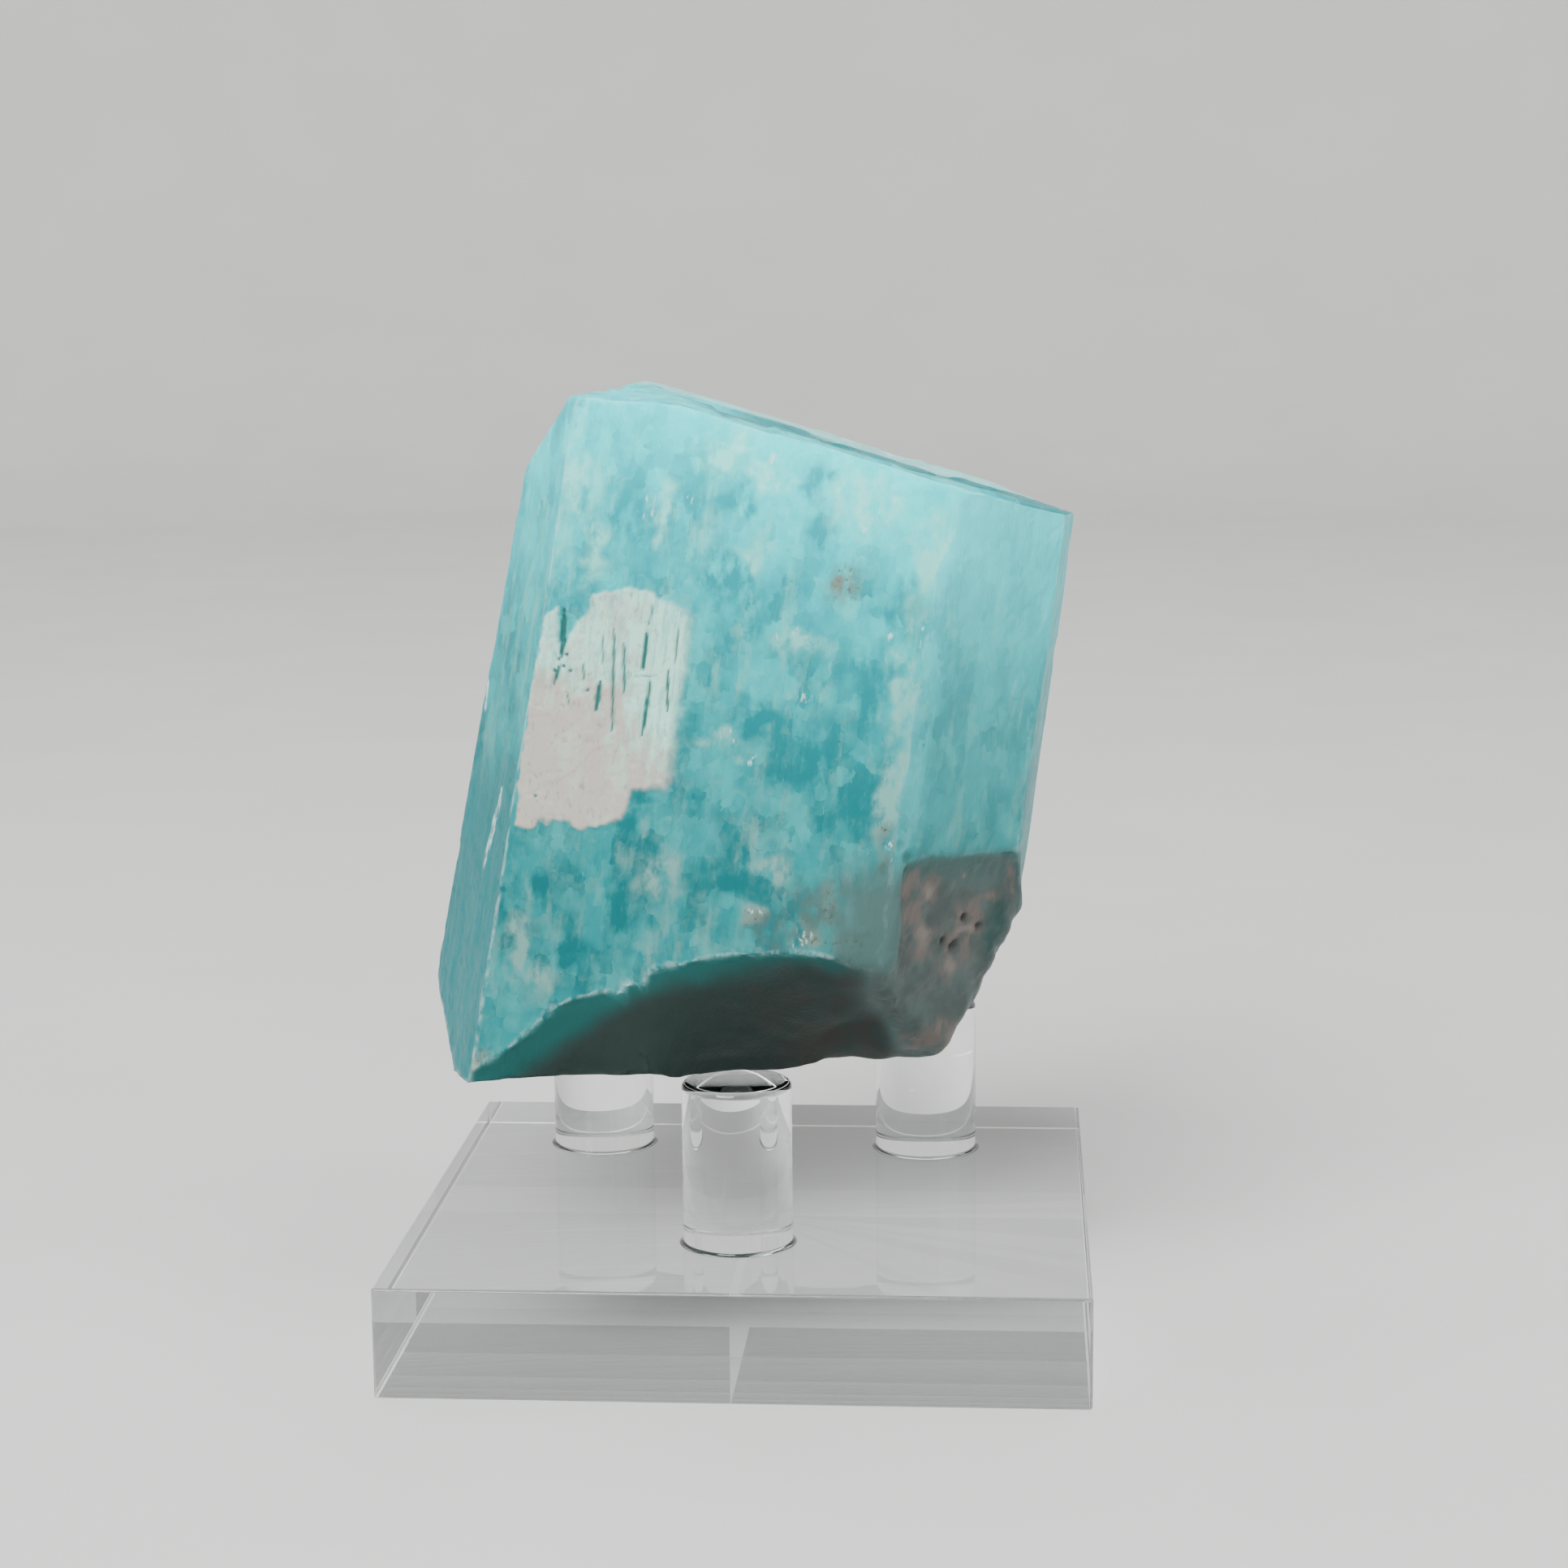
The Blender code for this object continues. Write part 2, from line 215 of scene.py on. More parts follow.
amazoniteLook = {
    # body of the crystal, towards its foot and towards its top: darker at the foot and paler at the top,
    # partly its own colour and partly painted light from above
    "deepLow": paint(0.000, 0.104, 0.114),
    "tealLow": paint(0.006, 0.182, 0.192),
    "paleLow": paint(0.035, 0.290, 0.292),
    "warmLow": paint(0.120, 0.265, 0.245),
    "deepHigh": paint(0.000, 0.430, 0.490),
    "tealHigh": paint(0.000, 0.720, 0.790),
    "paleHigh": paint(0.000, 0.960, 0.980),
    "warmHigh": paint(0.190, 0.940, 0.840),
    # painted sheen: the more even, greyer colours of the faces with a greyer sheen
    "evenLow": paint(0.020, 0.205, 0.212),
    "evenHigh": paint(0.030, 0.760, 0.830),
    # painted shade: darker grey-teal towards the lower right, beside the ledge and the scoop
    "dull": paint(0.047, 0.100, 0.095),
    "leftTeal": paint(0.000, 0.150, 0.165),
    # pale chipped edges, partly painted highlight; also the colour of the painted glints
    "rim": paint(0.560, 0.780, 0.760),
    "stain": paint(0.130, 0.185, 0.155),
    "speck": paint(0.050, 0.060, 0.045),
    # painted shade: a darker teal band on the top faces
    "crown": paint(0.010, 0.150, 0.158),
    # a pale line along the crown's back edge, partly painted highlight
    "crownPaleHighlight": paint(0.400, 0.700, 0.660),
    # pale coating on the front face
    "patchWarm": paint(0.395, 0.370, 0.325),
    "patchCool": paint(0.370, 0.680, 0.570),
    "groove": paint(0.020, 0.120, 0.110),
    # broken surfaces; the scoop's colours are partly its own deeper teal and partly painted shade
    "scoopTealShade": paint(0.009, 0.078, 0.074),
    "scoopShadeGrey": paint(0.0155, 0.028, 0.0255),
    "scoopShadeBrown": paint(0.026, 0.0255, 0.0235),
    "worn": paint(0.029, 0.047, 0.044),
    # painted shade: the top of the ledge, under its overhang, darker teal
    "ledgeTopShade": paint(0.036, 0.082, 0.077),
    "ledgeCool": paint(0.064, 0.092, 0.088),
    "ledgeGrey": paint(0.046, 0.062, 0.059),
    "ledgePink": paint(0.108, 0.092, 0.084),
    "ledgeBright": paint(0.165, 0.145, 0.132),
    "ledgeFacet": paint(0.012, 0.046, 0.042),
    # painted shade in the pits
    "pit": paint(0.020, 0.030, 0.028),
    "bareTeal": paint(0.006, 0.110, 0.110),
    "bareGrey": paint(0.050, 0.105, 0.094),
    # mm along the crystal, where the foot's colours end and the top's begin, and how they blend; this rise
    # from dark to pale is partly painted light from above
    "riseFrom": -16.0,
    "riseTo": 22.0,
    "riseCurve": 2.1,
    # small blocks of the grid of twins: mm wide and long, and how strongly they draw a pattern
    "coarse": (0.9, 1.2, 0.55),
    "small": (0.40, 0.6, 0.38),
    # patterns: the places they read, mm wide and long, seed, where the noise begins and is whole, detail
    "patterns": {
        "blotch": ("coarse", 4.2, 6.0, 3.0, 0.40, 0.60, 3.0),
        "paleBlotch": ("coarse", 2.4, 3.4, 11.0, 0.46, 0.68, 3.0),
        "creamStreak": ("small", 1.3, 5.5, 21.0, 0.50, 0.72, 3.0),
        "creamBlotch": ("coarse", 1.8, 1.4, 31.0, 0.54, 0.74, 3.0),
        "deepFleck": ("small", 1.3, 1.9, 51.0, 0.52, 0.78, 4.0),
        "paleFleck": ("small", 0.5, 1.2, 56.0, 0.54, 0.78, 3.0),
        "fine": ("whole", 0.22, 1.1, 41.0, 0.44, 0.72, 4.0),
        "grain": ("whole", 1.1, 2.0, 61.0, 0.32, 0.68, 5.0),
        "glint": ("whole", 0.30, 0.70, 65.0, 0.57, 0.68, 1.5),
        "speck": ("whole", 0.35, 0.35, 68.0, 0.58, 0.66, 2.0),
        "broken": ("whole", 2.2, 2.6, 71.0, 0.34, 0.64, 4.0),
        "mottle": ("whole", 1.2, 1.8, 91.0, 0.34, 0.66, 5.0),
        "holes": ("whole", 0.3, 0.7, 95.0, 0.54, 0.74, 4.0),
        "fibres": ("whole", 0.35, 3.0, 97.0, 0.46, 0.62, 3.0),
        "edge": ("whole", 0.6, 1.2, 99.0, 0.36, 0.62, 4.0),
    },
    # how strongly each shade covers what is under it
    "strength": {
        "paleBlotch": 0.65, "creamStreak": 0.60, "creamBlotch": 0.35, "deepFleck": 0.45, "paleFleck": 0.30,
        "bright": 0.65, "leftLow": 0.85, "fine": 0.07, "cool": 0.38,
        "deep": 1.7, "milky": 1.8, "stain": 1.5, "dull": 1.3, "glint": 0.75, "speck": 0.8,
        "crownPaleHighlight": 0.7, "ledgePale": 2.4, "mottle": 0.5, "holes": 0.4, "fibres": 0.45,
    },
    # painted sheen: those faces a little less saturated and paler
    "greySheenSaturation": 0.95,
    "greySheenValue": 1.06,
    "patchTone": (0.25, 1.1),           # where the coating turns from warm to cool
    "roughness": (0.30, 0.48),
    "bump": 0.3,
    "bumpDepth": 0.05 * mm,
    "specular": 0.12,
    "ior": 1.53,
}


def amazoniteMaterial():
    look = amazoniteLook
    mat, tree, shader = newMaterial("amazonite")
    crystalPlace = tree.nodes.new("ShaderNodeGroup")
    crystalPlace.node_tree = groups["place"]
    place = crystalPlace.outputs["Place"]
    places = {"whole": place, "coarse": blocky(tree, place, *look["coarse"]),
              "small": blocky(tree, place, *look["small"])}
    # the rise from the foot's darker to the top's paler colours, partly painted light from above
    risen = addNode(tree, "MapRange", {"Value": crystalPlace.outputs["Along"], "From Min": look["riseFrom"],
                                       "From Max": look["riseTo"]}).outputs[0]
    rise = addNode(tree, "Math", {0: risen, 1: look["riseCurve"]}, operation="POWER").outputs[0]

    def shade(name):                    # a colour of the body, from the foot's to the top's
        return mixColour(tree, rise, look[name + "Low"], look[name + "High"])

    def pattern(name):
        kind, *values = look["patterns"][name]
        return streaks(tree, places[kind], *values)

    def laid(under, name, mask, colour):    # a colour laid over another, as strongly as the table says
        return mixColour(tree, times(tree, mask, look["strength"][name]), under, colour)

    def masked(under, name, colour):    # a colour where the mesh's own mask is
        return mixColour(tree, readMask(tree, name), under, colour)

    # body: broad blotches, then pale, cream and deep streaks along the prism, with blocky edges
    blotch = pattern("blotch")
    body = mixColour(tree, rise, mixColour(tree, blotch, look["deepLow"], look["tealLow"]),
                     mixColour(tree, blotch, look["deepHigh"], look["tealHigh"]))
    pale, deep, warm = shade("pale"), shade("deep"), shade("warm")
    for name, colour in (("paleBlotch", pale), ("creamStreak", warm), ("creamBlotch", warm),
                         ("deepFleck", deep), ("paleFleck", pale)):
        body = laid(body, name, pattern(name), colour)
    # paler towards the top of the front and right faces: partly the crystal's own colour, partly painted
    # light from above
    body = laid(body, "bright", readMask(tree, "bright"), pale)
    body = laid(body, "leftLow", readMask(tree, "leftLow"), look["leftTeal"])
    fine = pattern("fine")
    body = laid(body, "fine", fine, warm)

    # painted sheen: the faces with a greyer sheen are painted more even
    cool = readMask(tree, "cool")
    body = laid(body, "cool", cool, shade("even"))

    # blotches that have their own place, some of them painted shade, painted glints of light off cleavage,
    # and dark specks in the stained parts
    grain = pattern("grain")
    for name, colour in (("deep", deep), ("milky", warm), ("stain", look["stain"]), ("dull", look["dull"])):
        body = laid(body, name, both(tree, readMask(tree, name), grain), colour)
    # painted shade: darker grey-teal beside the ledge
    body = masked(body, "shadeNearLedge", look["dull"])
    body = laid(body, "glint", both(tree, readMask(tree, "glint"), pattern("glint")), look["rim"])
    body = laid(body, "speck", both(tree, readMask(tree, "stain"), pattern("speck")), look["speck"])
    # painted sheen: the greyer faces a little paler and less saturated
    body = addNode(tree, "HueSaturation", {"Color": body, "Saturation": look["greySheenSaturation"],
                                           "Value": look["greySheenValue"], "Fac": cool}).outputs[0]
    # painted shade: a darker teal band on the top faces
    body = masked(body, "crown", look["crown"])
    # the crown's pale back edge, partly painted highlight
    body = laid(body, "crownPaleHighlight", readMask(tree, "crownPaleHighlight"), look["crownPaleHighlight"])

    # broken surfaces; the scoop under the ridge is painted dark as shade, teal near the ridge and greyer
    # further under it
    patches = pattern("broken")
    body = masked(body, "worn", look["worn"])
    body = masked(body, "bare", mixColour(tree, patches, look["bareTeal"], look["bareGrey"]))
    brown = both(tree, readMask(tree, "brown"), patches)
    scoop = mixColour(tree, brown, look["scoopShadeGrey"], look["scoopShadeBrown"])
    body = masked(body, "scoop", masked(look["scoopTealShade"], "greying", scoop))
    ledge = mixColour(tree, patches, look["ledgeCool"], look["ledgeGrey"])
    # painted shade: the top of the ledge, under its overhang, darker teal than the rest
    ledge = masked(look["ledgeTopShade"], "ledgeLow", ledge)
    ledge = laid(ledge, "ledgePale", both(tree, readMask(tree, "ledgePale"), grain), look["ledgePink"])
    ledge = masked(ledge, "ledgeBright", look["ledgeBright"])
    ledge = masked(ledge, "ledgeFacet", look["ledgeFacet"])
    body = masked(body, "ledge", ledge)
    # painted shade in the pits
    body = masked(body, "pit", look["pit"])

    # the pale coating and its grooves
    thin = readMask(tree, "thin")
    mottle = times(tree, pattern("mottle"), look["strength"]["mottle"])
    tone = addNode(tree, "Math", {0: thin, 1: mottle}).outputs[0]
    patch = mixColour(tree, ramp(tree, tone, *look["patchTone"]), look["patchWarm"], look["patchCool"])
    patch = laid(patch, "holes", pattern("holes"), look["groove"])
    patch = laid(patch, "fibres", both(tree, thin, pattern("fibres")), body)
    body = masked(body, "patch", patch)
    body = masked(body, "groove", look["groove"])

    # pale, worn edges, partly painted highlight
    body = mixColour(tree, both(tree, readMask(tree, "rim"), pattern("edge")), body, look["rim"])
    tree.links.new(body, shader.inputs["Base Color"])

    smoothest, roughest = look["roughness"]
    rough = addNode(tree, "MapRange", {"Value": fine, "To Min": smoothest, "To Max": roughest}).outputs[0]
    tree.links.new(rough, shader.inputs["Roughness"])
    crisp = addNode(tree, "Math", {0: 1.0, 1: readMask(tree, "worn")}, operation="SUBTRACT").outputs[0]
    height = both(tree, addNode(tree, "Math", {0: fine, 1: grain}, operation="ADD").outputs[0], crisp)
    bump = addNode(tree, "Bump", {"Height": height, "Strength": look["bump"],
                                  "Distance": look["bumpDepth"]}).outputs[0]
    tree.links.new(bump, shader.inputs["Normal"])
    shader.inputs["IOR"].default_value = look["ior"]
    shader.inputs["Specular IOR Level"].default_value = look["specular"]
    return mat


stand = {
    "pegs": ("post_front", "post_back_right", "post_back_left"),
    "tint": paint(0.97, 0.985, 0.985),
    "ior": 1.49,
    "smear": 0.04,                      # roughness where it has been handled
    "smearScale": 60.0,
    "smearDetail": 3.0,
    "smearFrom": 0.5,                   # where the noise begins to smear, and where it's whole
    "smearTo": 0.8,
    "edgeRound": 0.22 * mm,
    "edgeSegments": 3,
    "pegRound": 0.5 * mm,
    "glueFillet": 0.28 * mm,
    "roundSteps": 5,
    "pegSides": 96,
    "bond": 0.02 * mm,                  # thin layer between a peg's sole and the block
    "sharpAngle": 50.0,                 # degrees
    "flatWeight": 100,                  # how strongly the broad faces set the shading
}


def acrylicMaterial():
    mat, tree, shader = newMaterial("clear acrylic")
    place = addNode(tree, "TexCoord").outputs["Object"]
    cloud = addNode(tree, "TexNoise", {"Vector": place, "Scale": stand["smearScale"],
                                       "Detail": stand["smearDetail"]}).outputs["Fac"]
    rough = addNode(tree, "MapRange", {"Value": cloud, "From Min": stand["smearFrom"],
                                       "From Max": stand["smearTo"], "To Max": stand["smear"]}).outputs[0]
    tree.links.new(rough, shader.inputs["Roughness"])
    shader.inputs["Base Color"].default_value = stand["tint"]
    shader.inputs["IOR"].default_value = stand["ior"]
    shader.inputs["Transmission Weight"].default_value = 1.0
    # lamps shine through to what is under the block
    clear = addNode(tree, "BsdfTransparent", {"Color": stand["tint"]}).outputs[0]
    shadow = addNode(tree, "LightPath").outputs["Is Shadow Ray"]
    mixed = addNode(tree, "MixShader", {0: shadow, 1: shader.outputs[0], 2: clear}).outputs[0]
    tree.links.new(mixed, tree.nodes["Material Output"].inputs["Surface"])
    return mat


def meshObject(name, bm):
    bmesh.ops.recalc_face_normals(bm, faces=bm.faces)
    mesh = bpy.data.meshes.new(name)
    bm.to_mesh(mesh)
    bm.free()
    made = bpy.data.objects.new(name, mesh)
    bpy.context.scene.collection.objects.link(made)
    return made


def quarterTurn(steps):
    return [math.pi / 2 * step / steps for step in range(steps + 1)]


def turned(bm, profile, centre, sides):     # a profile of radius and height spun round an upright axis
    verts = [bm.verts.new((centre[0] + r, centre[1], z)) for r, z in profile]
    edges = [bm.edges.new(pair) for pair in zip(verts, verts[1:])]
    bmesh.ops.spin(bm, geom=verts + edges, cent=(*centre, 0), axis=(0, 0, 1),
                   angle=2 * math.pi, steps=sides, use_merge=True)
    bmesh.ops.remove_doubles(bm, verts=bm.verts, dist=weld)


def blockShape():
    low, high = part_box("base_block")
    bm = bmesh.new()
    bmesh.ops.create_cube(bm, size=1.0, matrix=Matrix.LocRotScale((low + high) / 2, None, high - low))
    bmesh.ops.bevel(bm, geom=bm.edges[:], offset=stand["edgeRound"], segments=stand["edgeSegments"],
                    profile=0.5, affect="EDGES", material=-1)
    return meshObject("clear_stand", bm)


def pegShape(name):
    # a turned rod with a rounded rim and a thin fillet of cement at its foot
    low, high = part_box(name)
    radius = (high.x - low.x) / 2
    rim, fillet, foot = stand["pegRound"], stand["glueFillet"], low.z + stand["bond"]
    quarter = quarterTurn(stand["roundSteps"])
    profile = [(0.0, foot)]
    profile += [(radius + fillet * (1 - math.sin(a)), foot + fillet * (1 - math.cos(a))) for a in quarter]
    profile += [(radius - rim * (1 - math.cos(a)), high.z - rim * (1 - math.sin(a))) for a in quarter]
    bm = bmesh.new()
    turned(bm, profile + [(0.0, high.z)], ((low + high) / 2).xy, stand["pegSides"])
    return meshObject(name + "_shape", bm)


def clearStand():
    piece = blockShape()
    shapes = [pegShape(name) for name in stand["pegs"]]
    bm = bmesh.new()
    for shape in [piece] + shapes:
        bm.from_mesh(shape.data)
    bm.to_mesh(piece.data)
    bm.free()
    for shape in shapes:
        bpy.data.objects.remove(shape)
    piece.data.name = "clear_stand"
    piece.data.shade_smooth()
    piece.data.set_sharp_from_angle(angle=math.radians(stand["sharpAngle"]))
    weigh = piece.modifiers.new("weigh", "WEIGHTED_NORMAL")
    weigh.weight = stand["flatWeight"]
    weigh.keep_sharp = True
    piece.data.materials.clear()
    piece.data.materials.append(acrylicMaterial())
    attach(piece, "root")
    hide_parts("base_block", *stand["pegs"])
    print("stand", len(piece.data.polygons), "faces")


# Places on a face are mm across and along from the crystal's centre.
crystalSurface = {
    "weld": 0.002,                      # mm, corners of the solid that are this close become one
    "baseCuts": 3,                      # cuts of every edge of the solid
    "visibleCuts": 1,                   # more on the faces with fine relief, and round the broken parts
    "detailDepth": 12.0,                # but only this far back, mm
    "patchCuts": 1,                     # and more again in the pale coating
    "cornerPasses": 10,                 # smoothing along the corners, and then between them
    "facePasses": 14,
    "wornReach": 5,                     # the round corners: how many edges wide, and their smoothing
    "wornPasses": 60,
    "cornerAngle": 38.0,                # degrees
    "nearPasses": 2,                    # how wide a corner wears, in edges, and how fast that fades
    "nearGain": 1.6,
    "cornerWear": 0.55,                 # how far the corners are rounded, 0 to 1
    "softReach": 10,                    # the same for the round edge, and its smoothing
    "softGain": 5.0,
    "softPasses": 14,
    "crispChip": 0.12,                  # depth of chips, mm
    "brokenChip": 0.09,
    "sharpAngle": 40.0,                 # degrees, sharper edges aren't shaded smooth
    # noise in layers: height, width across the prism, length along it, seed; mm
    "wobble": [(1.0, 2.2, 2.2, 23.0)],
    "ribs": [(0.035, 0.9, 16.0, 2.0), (0.022, 0.35, 9.0, 7.0)],
    "smoothBreak": [(0.14, 3.4, 3.4, 6.0), (0.05, 1.5, 1.5, 16.0)],
    "roughBreak": [(0.2, 1.6, 1.6, 36.0), (0.09, 0.7, 0.7, 46.0), (0.02, 0.35, 0.35, 56.0)],
    "bareRoughness": 0.6,               # share of the rough layers where there's no scoop and no ledge
    "patchAcross": [(0.22, 1.1, 1.1, 4.0), (0.1, 0.4, 0.4, 8.0)],
    "patchAlong": [(0.3, 0.9, 0.9, 14.0), (0.14, 0.35, 0.35, 18.0)],
    "lensWaver": [(0.4, 0.5, 0.5, 3.0)],
    "spotAcross": [(0.9, 1.5, 1.5, 5.0), (0.4, 0.6, 0.6, 7.0)],
    "spotAlong": [(1.2, 1.9, 1.9, 9.0), (0.5, 0.8, 0.8, 12.0)],
    "crownDrift": [(2.5, 4.5, 4.5, 27.0), (1.2, 2.2, 2.2, 23.0)],
    # and in steps: height, width, length, seed, where the noise begins to rise and where it's up
    "terraces": [(0.05, 3.4, 5.0, 12.0, 0.02, 0.07), (0.035, 1.8, 1.3, 15.0, 0.16, 0.21),
                 (-0.05, 0.7, 0.5, 17.0, 0.34, 0.5)],
    "crownSteps": [(0.22, 6.0, 6.0, 73.0, 0.0, 0.03), (0.132, 3.0, 3.0, 76.0, 0.12, 0.16)],
    "chips": [(1.0, 1.4, 1.8, 66.0, 0.05, 0.5)],
    # mm, keeps the layers inside the solid
    "growthSink": 0.06,
    "brokenSink": 0.12,
    # where masks rise along a value: from, to, how much the line wavers, and its slant across the crystal
    "rises": {
        "ledgeRight": (10.2, 11.8, 0.8),
        "ledgeOut": (-13.0, -9.0),
        "ledgeBeyond": (8.5, 10.0),
        "scoopDown": (8.0, 10.0),
        "scoopOut": (-6.0, -2.0),
        "ahead": (-2.0, 4.0),
        "wornRight": (4.5, 7.0, 1.0),
        "foot": (0.25, 1.0),
        "crownRight": (-8.0, -2.0),
        # where the painted shade on the top faces begins, back from the front face
        "crownDark": (7.0, 14.0),       # mm back from the front face
        "crownBack": (20.0, 25.0),
        "ridgeLine": (0.35, 0.6),
        "ridgeLeft": (-5.5, -3.5),
        "fadeRight": (7.0, 11.0, 0.9),
        "fadeUp": (23.5, 27.0, 0.5),
        "thinRight": (-9.5, -3.5),
        "thinUp": (-7.0, 4.0),
        "thinTop": (-1.0, 4.0),
        # where the paler top, partly painted light from above, begins and is whole
        "bright": (13.5, 22.0, 1.0, 0.45),
        "leftLow": (2.0, 9.0, 1.0),
        # where the painted shade beside the ledge begins
        "dullRight": (8.2, 12.8, 0.8),
        "dullDown": (6.2, 10.0, 0.5),
        # where the painted shade at the ledge's top gives way to its own colours
        "ledgeLow": (9.6, 12.2, 0.6, 0.12),
        # painted shade: the scoop greyer further under the ridge
        "greying": (0.2, 2.8, 0.6, 0.10),
        "brown": (-4.0, 8.0, 1.0),
    },
    # strength of some masks, and how many passes some are blurred in
    "gains": {"groove": 4.5, "leftGlints": 5.0, "rim": 0.8, "ridgeRim": 0.75, "crown": 0.8,
              "ledgeBright": 0.8, "brightRight": 0.65, "thinTop": 0.6, "backDrift": 0.5},
    "blurs": {"parts": 2, "lines": 1, "cool": 4, "ledge": 12, "worn": 10},
    "ledgeLean": (0.5, -14.0),          # slope of the ledge's side, below this place along the crystal
    "seatReach": 4.3,                   # flat spots over the pegs come down to them, mm
    "seatBlend": 2.0,
    "seatDrop": 0.28,
    # the pale coating: height, half its edge's width, where and how much softer that gets, and outline
    "patchHeight": 0.12,
    "patchEdge": 0.14,
    "patchSoft": (-6.0, -2.5, 3.0),
    "patchOutline": [
        (-12.65, 6.39), (-12.93, 3.2), (-13.08, -1.09), (-13.24, -3.77), (-13.01, -8.79), (-12.17, -8.91),
        (-11.29, -8.26), (-9.56, -7.89), (-8.57, -8.27), (-7.25, -7.97), (-5.46, -7.19), (-5.18, -5.13),
        (-2.96, -4.59), (-2.66, -4.66), (-2.47, -2.79), (-2.5, 0.36), (-2.42, 3.01), (-2.36, 7.35),
        (-3.8, 8.18), (-5.38, 8.77), (-6.74, 8.94), (-9.45, 8.13), (-9.69, 6.67), (-10.35, 5.78),
        (-10.9, 4.5), (-11.6, 4.41), (-11.77, 6.91),
    ],
    "patchZone": (-14.2, -1.4, -10.0, 10.0),        # gets the finest facets
    # lens-shaped grooves of the coating: from, to, width
    "grooves": [
        (-11.37, 6.96, -11.13, 3.44, 0.5), (-11.2, 2.9, -11.5, 1.4, 0.3),
        (-7.62, 6.03, -6.93, -1.28, 0.26), (-8.17, 2.23, -8.25, -0.02, 0.42),
        (-5.29, 6.05, -5.25, 3.31, 0.4), (-4.6, 2.71, -4.76, -1.27, 0.34),
        (-3.49, 3.66, -3.18, 0.67, 0.28), (-6.8, 5.05, -6.37, 1.44, 0.26),
        (-5.84, 2.83, -4.11, 3.06, 0.14), (-3.1, 6.6, -3.0, 3.9, 0.2),
        (-8.4, 5.6, -8.1, 3.2, 0.18), (-5.0, 8.1, -5.2, 6.5, 0.18),
        (-9.6, 3.4, -9.3, 1.9, 0.2), (-10.5, 1.2, -10.2, 0.2, 0.18),
    ],
    "grooveDepth": 0.5,                 # of its width
    "lensFlat": 0.3,                    # share of a lens's width that is flat, and its blend in mm
    "lensBlend": 0.03,
    # and two painted glints of this shape on the left face
    "leftGlints": [(-14.99, -6.6, -15.98, -12.8, 0.45), (-18.36, 0.6, -18.26, -1.8, 0.35)],
    "rimLength": 0.25,                  # mm, edges of the mesh longer than this get a fainter rim
    "spotFade": (0.1, 1.25),            # an oval blotch fades between these shares of its size
    # small places with painted glints of light off cleavage
    "glint": [
        (2.2, 19.0, 0.8, 0.6), (1.3, 17.5, 1.0, 0.5), (-11.2, 20.9, 0.5, 0.7), (-6.2, 14.9, 0.5, 0.8),
        (-3.3, 15.3, 0.5, 0.9), (3.9, 6.8, 0.5, 0.6), (5.5, 7.1, 0.7, 0.5), (5.7, 2.6, 0.5, 0.9),
        (11.3, 8.4, 0.5, 0.6), (13.8, 8.9, 0.5, 1.0), (1.3, -0.5, 1.4, 0.4), (2.8, -1.5, 0.8, 0.4),
        (13.7, -6.3, 0.6, 0.9), (4.6, -12.4, 0.5, 0.5), (8.3, -13.4, 0.8, 0.5), (9.6, 16.2, 1.2, 0.5),
    ],
    # blotches: across, along, half width, half length
    "deep": [
        (-8.5, 13.9, 1.2, 3.0), (-6.5, 13.2, 1.1, 2.8), (-0.2, 15.9, 1.6, 1.4), (0.0, 10.7, 3.2, 2.0),
        (1.8, 8.4, 1.6, 2.2), (6.1, 14.5, 1.4, 3.0), (5.3, 17.9, 1.8, 1.6), (12.5, 10.3, 1.6, 2.4),
        (10.7, 4.6, 2.2, 3.4), (8.1, -0.9, 3.0, 2.6), (-4.3, -5.4, 1.5, 1.0), (-3.4, 14.6, 1.0, 2.2),
        (-4.6, -13.8, 1.6, 3.2), (-8.0, -16.9, 1.5, 2.2), (10.8, -4.0, 2.6, 1.4), (7.6, -2.8, 2.2, 1.6),
        (3.0, -10.7, 1.8, 1.6), (-11.0, -12.9, 1.8, 1.5), (-5.0, -12.6, 1.3, 2.0), (3.2, 1.0, 2.6, 1.8),
        (-5.2, -7.4, 1.4, 0.9),
    ],
    "milky": [
        (-1.3, 18.9, 1.9, 2.2), (-11.5, 15.6, 1.2, 3.6), (1.7, 17.7, 2.0, 1.6), (8.9, 16.9, 2.8, 2.0),
        (14.0, 13.5, 1.5, 3.6), (13.2, 6.0, 1.2, 5.6), (13.2, -3.0, 1.2, 6.0), (1.3, -0.6, 2.2, 0.7),
        (-5.1, 14.4, 0.9, 2.4), (-3.5, 22.1, 3.0, 0.8), (5.6, 6.4, 2.2, 1.4), (1.3, 12.4, 1.6, 1.1),
        (-10.2, -19.8, 1.3, 2.4), (-2.4, -10.7, 1.9, 2.4), (-11.9, -17.5, 0.8, 2.8), (4.6, -12.4, 1.0, 0.8),
        (5.5, -9.6, 1.6, 1.2), (-9.5, 11.0, 1.0, 3.0),
    ],
    "stain": [
        (8.1, 10.8, 1.4, 1.6), (4.6, -12.6, 0.8, 0.7), (8.6, -13.3, 1.3, 1.1), (11.7, -13.4, 1.0, 1.4),
        (13.2, -5.9, 0.7, 0.8), (-14.0, -25.9, 1.4, 0.9), (10.2, -14.6, 1.8, 1.0),
    ],
    # painted shade: darker grey-teal blotches towards the lower right
    "dull": [(9.0, -11.5, 3.4, 2.6), (12.0, -13.5, 2.4, 3.6), (6.0, -13.6, 2.6, 1.6), (13.4, -8.0, 1.2, 2.6)],
    "specks": [(-11.3, 3.3), (-10.9, 2.9), (-11.5, 2.5), (-10.8, 3.7), (-10.4, 2.6), (-9.0, 1.4),
               (-11.9, -6.5)],
    "speckRadius": (0.068, 0.17),
